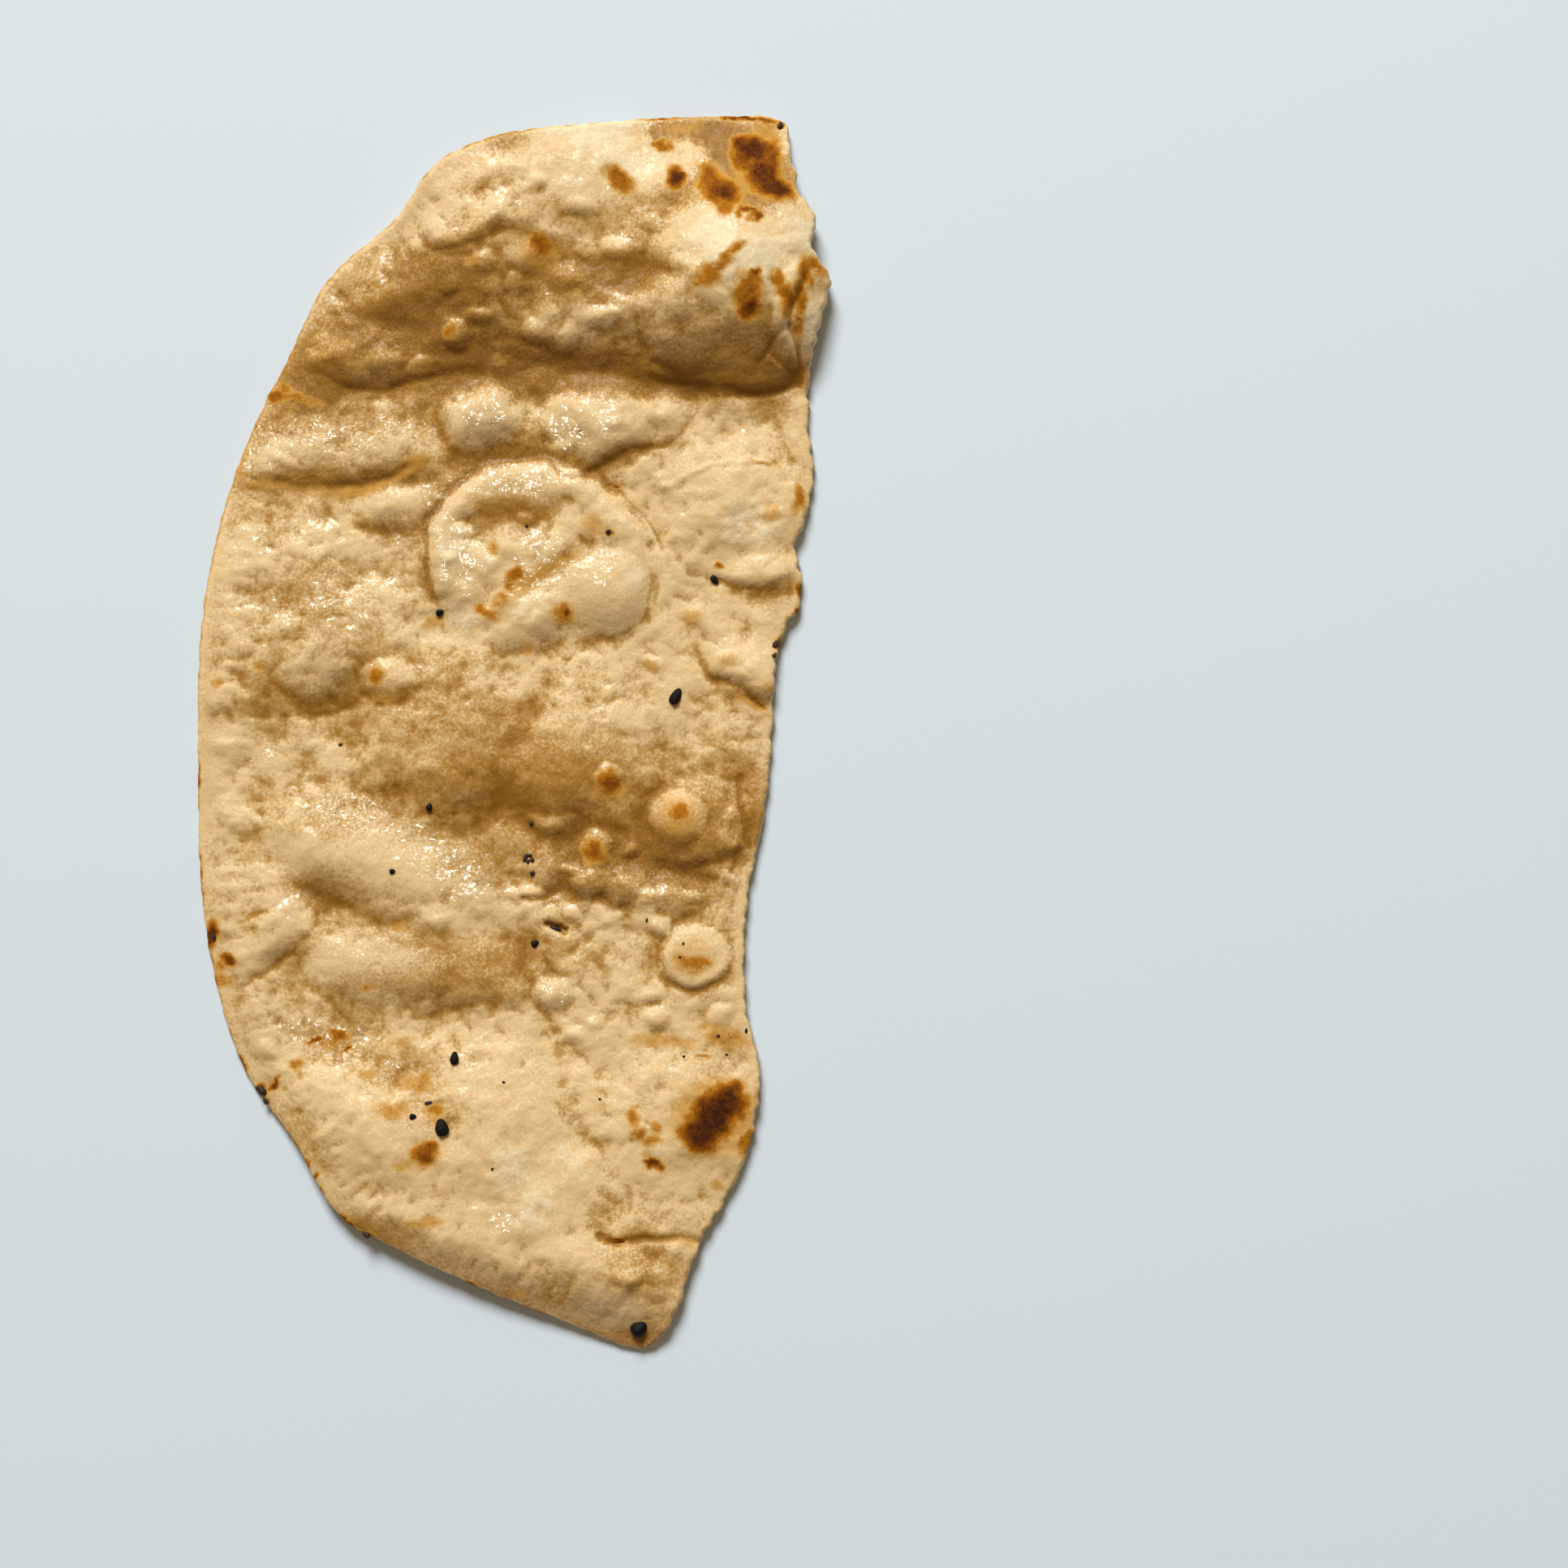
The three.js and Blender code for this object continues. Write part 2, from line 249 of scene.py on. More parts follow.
# Small bubbles of the skin: middle, half width, reach up and down, height, and turn.
Bubble = namedtuple("Bubble", "x y half up down height turn", defaults=(0,))
BUBBLES = [
    (-9.75, 73.5, 3, 3, 2.75, 0.9), (-6.5, 77, 2.5, 2, 2, 0.6), (-23.5, 69, 3.75, 3, 2.75, 0.8, 10),
    (-17.25, 67.75, 2.75, 2.5, 2, 0.5), (-27, 73, 2.5, 2, 2, 0.5), (1, 83, 3, 2.75, 2.5, 0.7),
    (10, 83.75, 4, 3, 3, 0.8, 10), (4, 74.5, 3.25, 2.75, 2.75, 0.7), (10.5, 73, 2.75, 2.5, 2.5, 0.6),
    (17, 76.25, 3.75, 3, 2.75, 0.7, -10), (23.75, 79.25, 3.25, 2.75, 2.75, 0.6),
    (27.5, 73, 3.75, 3, 2.5, 0.5), (-2, 67.75, 3, 2.75, 2.5, 0.7), (4.75, 65.5, 3, 2.5, 2.5, 0.6),
    (11.5, 65.5, 2.5, 2, 1.75, 0.5), (-11.25, 82.25, 2.25, 2, 1.75, 0.5), (-5, 86.75, 2.5, 2.25, 2, 0.5),
    (-14.25, 93.5, 2.75, 2.5, 2.5, 0.5), (-20.25, 86.75, 2.75, 2.5, 2.5, 0.5),
    (-30.75, 76.25, 2.25, 2, 1.75, 0.4), (19.25, 89.75, 3, 2.5, 2.5, 0.6), (31.25, 86.75, 2.5, 2, 2, 0.4),
    (25.25, 93.5, 2.5, 2, 2, 0.5), (13, 97, 3.25, 2.5, 2, 0.6, -8), (4, 101.25, 2.75, 2, 1.75, 0.5),
    (22, -22, 2, 1.75, 1.75, 0.7), (13.7, -28.4, 3.1, 3, 2.9, 0.7), (19.9, -29, 3.2, 3.1, 3, 0.7),
    (11.25, -34.25, 2, 2, 1.75, 0.7), (10.75, -25.75, 1.75, 1.25, 1.25, 0.5),
    (33, -30.25, 2.25, 1.5, 1.5, 0.4), (5.75, -17, 4, 2.2, 1.8, 0.4, -8), (27.5, -36, 2.5, 2, 2, 0.7),
    (39.25, -27, 2.75, 2, 1.75, 0.5, -20), (1.75, -30, 4, 1.75, 1.25, 0.5), (27, -53.25, 3, 2.25, 2, 0.5),
    (37.75, -52.75, 3.25, 2.25, 2, 0.5), (17.75, -8.5, 3, 2.75, 3, 0.8), (48, 40.5, 2.5, 2, 2, 0.5),
    (33.5, 21.25, 2.75, 2, 1.75, 0.4), (25.75, 12.75, 2.25, 1.75, 1.75, 0.5),
    (40, 13.75, 2.5, 2, 1.75, 0.4, -20), (21.25, -101.25, 3, 2.25, 2, 0.5),
    (15.5, -53.5, 2.25, 1.5, 1.25, 0.4, 30), (23.5, -74.25, 2.5, 2.25, 2, 0.5),
    (-16.25, -78.25, 2.25, 2, 1.75, 0.4), (10.75, -56.5, 3.25, 2.5, 2, 0.4),
    (-50.5, -16.25, 4, 2.75, 2.5, 0.6, -20), (-46, -58.75, 3.75, 2, 1.75, 0.5, -20),
    (2.5, 39.75, 2, 1.75, 1.75, 0.4), (-8.75, 37.5, 2.75, 2, 1.75, 0.7),
    (-11.75, 32.25, 2, 1.75, 1.5, 0.5, 20),
]
BUBBLE_SOFTNESS = 1.25

# The foot of a fold or blister: how far from it the lip stands highest and how far it reaches, its height,
# the depth of the crease at the foot, and the points the foot runs through, with the raised side on its left.
Fold = namedtuple("Fold", "lip reach height crease points")
FOLDS = [
    Fold(3.4, 10, 0.9, 0.5, [  # foot of the puff
        (22, 68.5), (26.5, 66), (33, 64.5), (41.5, 63.25), (48.5, 63), (53, 65.25), (54.5, 68.5),
    ]),
    Fold(1.6, 5, 1.5, 1.3, [  # side of the puff's mouth
        (54, 67.75), (52.75, 71.25), (52, 74.5), (52.25, 77.75), (53.75, 82.25), (54.5, 86),
    ]),
    Fold(3, 9.5, 1.2, 0.3, [  # roll round the large blister
        (27, 25.5), (26, 32.25), (23.75, 38.25), (20, 43.5), (15.5, 47.25), (10, 50), (4, 51.25),
        (-2, 50.5), (-7, 48.75), (-11.25, 45.75), (-14.25, 41.5), (-16, 36.75), (-16.5, 31.5),
        (-15.5, 26.25), (-13, 20.75), (-10.75, 15.5),
    ]),
    Fold(2.4, 8, 0.15, 0, [  # plateau in the blister
        (-14.5, 27), (-8, 26.5), (-2.5, 26),
    ]),
    Fold(2.6, 8, 0.35, 0.15, [  # smooth dome in it
        (13.5, 17.5), (18.5, 17.5), (23, 20), (25.5, 25), (25.25, 29), (23.5, 32),
    ]),
    Fold(2.4, 8, 0.7, 0.3, [  # cap-shaped blister
        (5.75, 56.5), (6.25, 52), (8.5, 48.5), (12.5, 47.25), (15.75, 49.25), (20.75, 52.5), (25.25, 53),
        (30.5, 55), (32.75, 58.75),
    ]),
    Fold(4, 11, 0.9, 0.4, [  # fold from the left rim
        (-54.25, 48), (-41.25, 46.25), (-30, 45), (-23.5, 47.25), (-19, 49.5), (-15.75, 52),
    ]),
    Fold(3, 7, 0.2, 0, [  # small swell under that fold
        (-28.25, 41), (-26, 37.75), (-21.75, 36.75), (-17.25, 38.5), (-15, 42),
    ]),
    Fold(3, 9, 1.1, 0.2, [  # upper left lumps
        (-15.75, 88), (-8.75, 90), (-3.25, 91.25), (2.5, 93.5),
    ]),
    Fold(4, 13, 1.1, 0.25, [  # upper left swell
        (-40, 66.75), (-36.25, 66.25), (-28, 63.75), (-19.75, 65), (-11.25, 67.75),
    ]),
    Fold(2.4, 8, 0.5, 0.15, [  # mound at the cut edge
        (30.5, 32.25), (32.75, 30.5), (35.75, 28.75), (40.5, 27), (45, 26.5), (51.75, 26.5),
    ]),
    Fold(2.6, 9, 0.8, 0.25, [  # lobe under it
        (32.75, 16.25), (34.5, 14.25), (37.75, 10), (42.75, 7.75), (46.25, 5), (48.75, 4.25),
    ]),
    Fold(5, 14, 0.7, 0.2, [  # wide swell, middle left
        (-52, 4), (-44, 3), (-34, 4), (-26, 7.25),
    ]),
    Fold(5, 14, 0.4, 0.1, [  # centre swells
        (-20.25, -15), (-11, -15), (-2, -14), (8.5, -15.5), (16, -15),
    ]),
    Fold(1.6, 5, 0.6, 0.2, [  # shoulder of the ring blister, at the cut
        (43, -22.25), (42.5, -19.25), (42.25, -15.5), (40.75, -12.5),
    ]),
    Fold(2.6, 8, 0.6, 0.2, [  # dip under that shoulder
        (23, -24.25), (30.5, -26), (37, -24.25), (42.5, -22.5),
    ]),
    Fold(1.2, 3, 0.5, 0.25, [  # flat-topped blister
        (30.25, -37), (28, -39.75), (28.25, -43.5), (30.5, -46.5), (34, -47.75), (37.75, -46.5),
        (40, -43.5), (39.5, -40),
    ]),
    Fold(7, 18, 0.8, 0.1, [  # first wave
        (-46, -27), (-40.5, -29.25), (-35.75, -31.5), (-33, -35.5), (-26.75, -36), (-23, -37.75),
        (-18, -39.75), (-13.5, -40.5), (-6.5, -38.25),
    ]),
    Fold(5.5, 14, 0.5, 0.15, [  # second wave
        (-41.5, -45.75), (-34.25, -50.25), (-30, -53.25), (-24, -53.75), (-16.25, -52.75), (-13.5, -51.75),
        (-6.5, -50.75), (1, -50.5),
    ]),
    Fold(4, 11, 0.7, 0.15, [  # root of the waves at the left rim
        (-50.5, -48), (-45.5, -44), (-40.5, -40.25), (-37, -35.5), (-35.75, -31.75),
    ]),
    Fold(2, 6, 0.5, 0.2, [  # soft arc
        (16.25, -49.25), (23, -51.25), (29.5, -49),
    ]),
]
CREASE_HALF = 1.0  # half the width of the crease at a fold's foot
CREASE_SHARE, LIP_SHARE = 0.5, 0.8  # how much of its stated depth or height each gets
LIP_STEEPNESS = 1.7
LIP_FADES = 0.75  # where the lip begins to fade, as a share of the way to where it stands highest
FOLD_ENDS = 0.16  # the share of a fold's length over which it fades at each end

# A line of relief: half its width, its height (less than 0 for a crease), and the points it runs through.
Line = namedtuple("Line", "half height points")

LINES = [
    Line(0.9, -0.3, [(45.5, 68.5), (49.5, 72.5), (52, 75)]),  # pleat beside the mouth
    Line(3.2, -0.15, [(-52, 61), (-35.5, 59), (-20, 56.5), (-13.5, 55)]),  # crease above the left fold
    Line(0.6, -0.3, [(15.5, 48.5), (21.5, 43), (26.5, 36.5), (29, 30.5)]),  # second seam, upper right
    Line(5, -0.8, [(-7, 38), (-3, 39.5), (2, 39.5), (6, 38.5)]),  # hollow under the roll
    Line(3, -0.45, [(-6, 35), (-5, 34.6)]),  # pit in the plateau
    Line(2.2, -0.25, [(-4.5, 19.5), (1, 24), (5, 29), (10, 32), (14, 35)]),  # toasted crease
    Line(4.0, -0.6, [(6, 8), (2, 1), (-1, -7), (-3, -13)]),  # valley between the centre swells
    Line(0.8, -0.3, [(42, -8.5), (42.5, -16.5), (43.5, -21.5)]),  # crease along the cut
    Line(0.7, -1.2, [(6, -35.5), (7.5, -36), (9.5, -37)]),  # dark slit
    Line(1.5, -0.15, [(1.5, -34.5), (2, -45), (5, -50.5), (8, -55.5)]),  # creases down the middle
    Line(5.0, -0.45, [(7, -58), (8.5, -66), (12, -73), (17, -80), (18.5, -87), (17, -92)]),
    Line(1.2, -0.2, [(11.1, -40.5), (13.3, -38.3), (17, -36.1), (21.4, -34.3)]),  # creases between pillows
    Line(1.4, -0.15, [(15.5, -45.8), (17, -41.3), (20, -38.7), (23.7, -38.3)]),
    Line(0.8, -0.25, [(0, -28), (1.1, -30.9), (4.8, -31.3), (8.1, -30.2)]),
    Line(1.2, -0.15, [(24.4, -36.9), (26.7, -39.8), (26.8, -44), (29, -47.4)]),
    Line(1.2, -0.45, [(16, -93.5), (20.5, -94.7), (28, -94.3), (35, -95)]),  # crease across the lower corner
    Line(0.6, -1.0, [(18, -94.2), (20, -94.8), (21.5, -94.7)]),  # slit in it
    Line(2.6, -0.2, [(-20, -60), (-15, -63.5), (-12.5, -68), (-10.5, -74)]),  # edge of the lower left mound
    Line(0.7, -0.35, [(-49.2, -34.5), (-47.5, -33.7), (-45.8, -33.6)]),  # small crescent by the left rim
    Line(0.6, 0.3, [(28, 45.5), (36, 49.5), (45, 50.5), (47.5, 50)]),  # fine arc on the mound
]

# Where the small pebbling is weaker or stronger than elsewhere. A spot's value is the share left there.
PEBBLING = [
    Spot(18, 27, 9, 9, 0.12),  # smooth dome
    Spot(-6, 76, 46, 20, 1.5),  # upper left and shoulder
    Spot(30, 100, 34, 14, 0.6),  # toasted upper corner
    Spot(30, 57, 26, 7, 1.4),  # below the puff
    Spot(42, 70, 12, 8, 0.3),  # underside of the puff
    Spot(32, -15, 8, 7, 0.3),  # ring blister
    Spot(33.5, -42, 7, 7, 0.2),  # flat-topped blister
    Spot(20, -30, 26, 9, 1.5),  # pebbly row
    Spot(-25, -24, 27, 8, 0.35),  # first wave
    Spot(-19, -43, 24, 7, 0.45),  # second wave
    Spot(2, -6, 24, 12, 0.6),  # centre swells
    Spot(-3, 44, 14, 8, 0.5),  # roll of the large blister
    Spot(-5, -85, 55, 30, 0.85),  # lower third
]


def turned(x, y, place):
    """How far x and y lie from a place's middle, along and across its turn."""
    angle = math.radians(place.turn)
    cos, sin = math.cos(angle), math.sin(angle)
    return (x - place.x) * cos + (y - place.y) * sin, (y - place.y) * cos - (x - place.x) * sin


def fading(spot, x, y, core, skirt):
    """1 inside `core` of a spot's size, falling to 0 at `skirt` of it."""
    along, across = turned(x, y, spot)
    return 1 - smoothstep(np.hypot(along / spot.along, across / spot.across), core, skirt)


def dome_height(dome, x, y):
    along, across = turned(x, y, dome)
    q2 = (along / dome.half) ** 2 + (across / np.where(across > 0, dome.up, dome.down)) ** 2
    return dome.height * np.clip(1 - q2, 0, 1) ** dome.softness


def heights(domes, x, y):
    return sum(dome_height(dome, x, y) for dome in domes)


def follow(points, x, y, reach):
    """Which places lie near a line, their distance (more than 0 on its left) and their share of the way."""
    path = smooth_curve(points, closed=False, steps=6)
    low, high = path.min(0) - reach, path.max(0) + reach
    near = np.flatnonzero((x > low[0]) & (x < high[0]) & (y > low[1]) & (y < high[1]))
    px, py = x[near], y[near]
    best, side, way = np.full(px.shape, float(reach)), np.ones(px.shape), np.zeros(px.shape)
    run = 0.0
    for (ax, ay), (bx, by) in zip(path, path[1:]):
        ux, uy = bx - ax, by - ay
        length = math.hypot(ux, uy)
        t = np.clip(((px - ax) * ux + (py - ay) * uy) / (length * length + 1e-9), 0, 1)
        distance = np.hypot(px - ax - t * ux, py - ay - t * uy)
        closer = distance < best
        best = np.where(closer, distance, best)
        side = np.where(closer, np.where(ux * (py - ay) - uy * (px - ax) > 0, 1, -1), side)
        way = np.where(closer, run + t * length, way)
        run += length
    return near, best * side, way / run


def line_height(line, x, y):
    """A ridge or crease with a rounded section."""
    near, distance, _ = follow(line.points, x, y, line.half)
    total = np.zeros_like(x)
    total[near] = line.height * (1 - np.clip(np.abs(distance) / line.half, 0, 1) ** 2) ** 2
    return total


def fold_height(fold, x, y):
    """A lip that rises steeply from its foot and fades behind, and the crease at the foot."""
    near, distance, way = follow(fold.points, x, y, fold.reach)
    ends = smoothstep(way, 0, FOLD_ENDS) * smoothstep(1 - way, 0, FOLD_ENDS)
    steep = 1 - (1 - np.clip(distance / fold.lip, 0, 1)) ** LIP_STEEPNESS
    lip = LIP_SHARE * fold.height * steep * (1 - smoothstep(distance, LIP_FADES * fold.lip, fold.reach))
    crease = CREASE_SHARE * fold.crease * (1 - np.clip(np.abs(distance) / CREASE_HALF, 0, 1) ** 2) ** 2
    total = np.zeros_like(x)
    total[near] = ends * (lip - crease)
    return total


def bubble_height(bubble, x, y):
    bubble = Bubble(*bubble)
    return dome_height(Dome(*bubble[:5], bubble.turn, bubble.height, BUBBLE_SOFTNESS), x, y)


PEBBLING_CORE, PEBBLING_SKIRT = 0.6, 1.1  # where a spot of the pebbling begins and ends to fade


def pebbling_share(x, y):
    """How strong the pebbling is: the product of its spots' shares."""
    share = np.ones_like(x)
    for spot in PEBBLING:
        share = share * (1 + (spot.value - 1) * fading(spot, x, y, PEBBLING_CORE, PEBBLING_SKIRT))
    return share


def skin_relief(x, y, inset, along):
    """What lies on the swells: folds, lines, bubbles, the skin's pebbling and the streaks near the rim."""
    wx, wy = wandered(x, y, (0.9, 7, 11, 12), (0.25, 2.8, 13, 14))
    placed = sum(fold_height(fold, wx, wy) for fold in FOLDS)
    placed = placed + sum(line_height(line, wx, wy) for line in LINES)
    placed = placed + sum(bubble_height(bubble, wx, wy) for bubble in BUBBLES)
    share = pebbling_share(x, y)
    # Four sizes of pebbles, from coarse to fine, with their heights in mm before them.
    pebbled = share**1.5 * 0.42 * noise(wx, wy, 9, 21) + share * 0.18 * noise(wx, wy, 4.6, 31)
    pebbled = pebbled + np.minimum(share, 1) * (0.15 * noise(wx, wy, 2.6, 41) + 0.09 * noise(wx, wy, 1.5, 61))
    uneven = 0.25 * layered(x, y, 15, 51)
    streaks = 0.2 * noise(along, inset * 0.2, 1.5, 95) * (1 - smoothstep(inset, 3, 14))
    away = smoothstep(inset, 0, 4)
    return placed + pebbled * (0.35 + 0.65 * away) + (uneven + streaks) * away


# ---------------------------------------------------------------- the edge

RAGGED_CUT, RAGGED_RIM = 0.5, 0.2  # how far each kind of edge wanders, in mm


class Edge:
    """The outline as evenly spaced points, with their outward normals and what kind of edge they lie on."""

    def __init__(self):
        curve = smooth_curve(BAKED_RIM + CUT_EDGE, closed=True)
        self.centre = (curve.min(0) + curve.max(0)) / 2
        self.span = curve.max(0) - curve.min(0)
        lengths = np.r_[0, np.cumsum(np.linalg.norm(np.roll(curve, -1, 0) - curve, axis=1))]
        looped = np.vstack([curve, curve[:1]])
        self.count = round(lengths[-1] / EDGE_STEP)
        self.along = np.arange(self.count) * lengths[-1] / self.count
        self.points = np.stack([np.interp(self.along, lengths, looped[:, k]) for k in (0, 1)], 1)
        ahead = np.roll(self.points, -2, 0) - np.roll(self.points, 2, 0)
        ahead /= np.linalg.norm(ahead, axis=1)[:, None]
        self.normals = np.stack([-ahead[:, 1], ahead[:, 0]], 1) * self.turning(ahead)
        tip = lengths[CURVE_STEPS * (len(BAKED_RIM) - 1)]
        self.baked = self.along <= tip
        self.near = {kind: self.tree(self.baked == kind) for kind in (True, False)}

    def turning(self, ahead):
        """1 if the left of the way round is outside the outline, else -1."""
        x, y = self.points.T
        area = np.sum(x * np.roll(y, -1) - np.roll(x, -1) * y)
        return -1 if area > 0 else 1

    def tree(self, chosen):
        tree = KDTree(int(chosen.sum()))
        for index in np.flatnonzero(chosen):
            tree.insert((*self.points[index], 0), int(index))
        tree.balance()
        return tree

    def nearest(self, x, y, baked):
        """Distance to that kind of edge, and the index of its nearest point."""
        found = [self.near[baked].find((px, py, 0)) for px, py in zip(x, y)]
        return np.array([f[2] for f in found]), np.array([f[1] for f in found])


edge = Edge()


def thickness(x, y, rim_inset, inset, along):
    """Height of the upper skin above the lower one."""
    thick = smoothstep(rim_inset, 0, RIM_TAPER)
    swelling = SWELL_AT_RIM + (1 - SWELL_AT_RIM) * smoothstep(rim_inset, 0, SWELL_TAPER)
    uneven = SWELL_AT_RIM + (1 - SWELL_AT_RIM) * thick
    flat = RIM_DOUGH + (DOUGH - RIM_DOUGH) * thick
    return flat + swelling * heights(SWELLS, x, y) + uneven * skin_relief(x, y, inset, along)


def under_height(x, y):
    """Height of the underside: flat where it was pressed to the oven wall, with shallow pits."""
    pits = 0.22 * pebbles(x, y, 7, 0.4, 71) + 0.12 * pebbles(x, y, 3.4, 0.5, 81)
    return heights(LIFTS, x, y) + pits


# ---------------------------------------------------------------- the skin as one closed mesh

SHAKE = 0.12
CLEARANCE = 0.6  # how many steps the points inside keep from the edge
CRUMB_RELIEF = 0.28  # how uneven the torn crumb at the cut is, in mm


def grid_points(step, seed):
    """Staggered points all over the half, each moved by up to SHAKE of a step."""
    half = edge.span / 2 + step
    xs = np.arange(-half[0], half[0], step)
    ys = np.arange(-half[1], half[1], step * math.sqrt(0.75))
    x, y = np.meshgrid(xs, ys)
    x[::2] += step / 2
    shake = np.random.default_rng(seed).uniform(-SHAKE, SHAKE, (2, x.size)) * step
    return x.ravel() + shake[0] + edge.centre[0], y.ravel() + shake[1] + edge.centre[1]


def inside(x, y, ring, least):
    """Which points lie at least that far inside a ring of points."""
    tree = KDTree(len(ring))
    for index, (px, py) in enumerate(ring):
        tree.insert((px, py, 0), index)
    tree.balance()
    nearest = np.array([tree.find((px, py, 0))[1] for px, py in zip(x, y)])
    depth = ((ring[nearest] - np.stack([x, y], 1)) * edge.normals[nearest]).sum(1)
    return depth > least


def filled(ring, step, seed):
    """Points and triangles that fill a ring. The ring's own points come first, in their order."""
    x, y = grid_points(step, seed)
    kept = inside(x, y, ring, CLEARANCE * step)
    points = np.vstack([ring, np.stack([x[kept], y[kept]], 1)])
    loop = [(i, (i + 1) % len(ring)) for i in range(len(ring))]
    made = delaunay_2d_cdt([Vector(p) for p in points], loop, [], 1, 1e-6)
    source = [origins[0] for origins in made[3]]
    triangles = np.array([[source[i] for i in face] for face in made[2]])
    return points, triangles


def edge_offsets():
    """How far each ring of the wall lies outside the outline, from the upper corner to the lower one."""
    wander = np.where(edge.baked, RAGGED_RIM, RAGGED_CUT)
    level = np.zeros(edge.count)
    around = wander * (noise(edge.along, level, 3.1, 5) + 0.6 * noise(edge.along, level, 1.3, 6))
    lip = np.where(edge.baked, RIM_LIP, CUT_LIP)
    offsets = []
    for k in range(WALL_RINGS + 2):
        down = k / (WALL_RINGS + 1)
        bulge = math.sin(math.pi * down) ** 0.6
        crumb = ~edge.baked * CRUMB_RELIEF * layered(edge.along, level + 40 * down, 1.6, 91, 2) * bulge
        offsets.append(around + crumb - lip * (1 - bulge))
    return offsets


def bread():
    offsets = edge_offsets()
    rings = [edge.points + edge.normals * offset[:, None] for offset in offsets]
    top, top_faces = filled(rings[0], SKIN_STEP, 101)
    low, low_faces = filled(rings[-1], UNDER_STEP, 102)

    def surface(points):
        x, y = points.T
        rim_inset, rim_place = edge.nearest(x, y, True)
        cut_inset, _ = edge.nearest(x, y, False)
        inset = np.minimum(rim_inset, cut_inset)
        return heights(LIFTS, x, y) + thickness(x, y, rim_inset, inset, edge.along[rim_place])

    top_z = surface(top)
    low_z = under_height(*low.T)
    n = edge.count
    walls = []
    for k in range(1, WALL_RINGS + 1):
        down = k / (WALL_RINGS + 1)
        z = top_z[:n] + (low_z[:n] - top_z[:n]) * down
        walls.append(np.column_stack([rings[k], z]))
    points = np.vstack([np.column_stack([top, top_z]), *walls, np.column_stack([low, low_z])])
    starts = [0] + [len(top) + n * k for k in range(WALL_RINGS)] + [len(top) + n * WALL_RINGS]
    here = np.arange(n)
    ahead = (here + 1) % n
    faces = [top_faces, low_faces[:, ::-1] + starts[-1]]
    for a, b in zip(starts, starts[1:]):
        faces.append(np.column_stack([a + here, b + here, b + ahead]))
        faces.append(np.column_stack([a + here, b + ahead, a + ahead]))
    return points, np.vstack(faces), len(top), n


def to_frame(points):
    """From the design frame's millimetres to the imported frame's metres."""
    low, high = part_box(NODE)
    scale = (high.y - low.y) / edge.span[1]
    middle = np.array([(low.x + high.x) / 2, (low.y + high.y) / 2, low.z])
    return (points - np.array([*edge.centre, 0])) * scale + middle


def mesh_object(name, points, faces):
    mesh = bpy.data.meshes.new(name)
    mesh.vertices.add(len(points))
    mesh.vertices.foreach_set("co", np.asarray(points, np.float32).ravel())
    mesh.loops.add(3 * len(faces))
    mesh.loops.foreach_set("vertex_index", np.asarray(faces, np.int32).ravel())
    mesh.polygons.add(len(faces))
    mesh.polygons.foreach_set("loop_start", np.arange(0, 3 * len(faces), 3, dtype=np.int32))
    mesh.update(calc_edges=True)
    mesh.validate()
    mesh.shade_smooth()
    made = bpy.data.objects.new(name, mesh)
    bpy.context.scene.collection.objects.link(made)
    return made
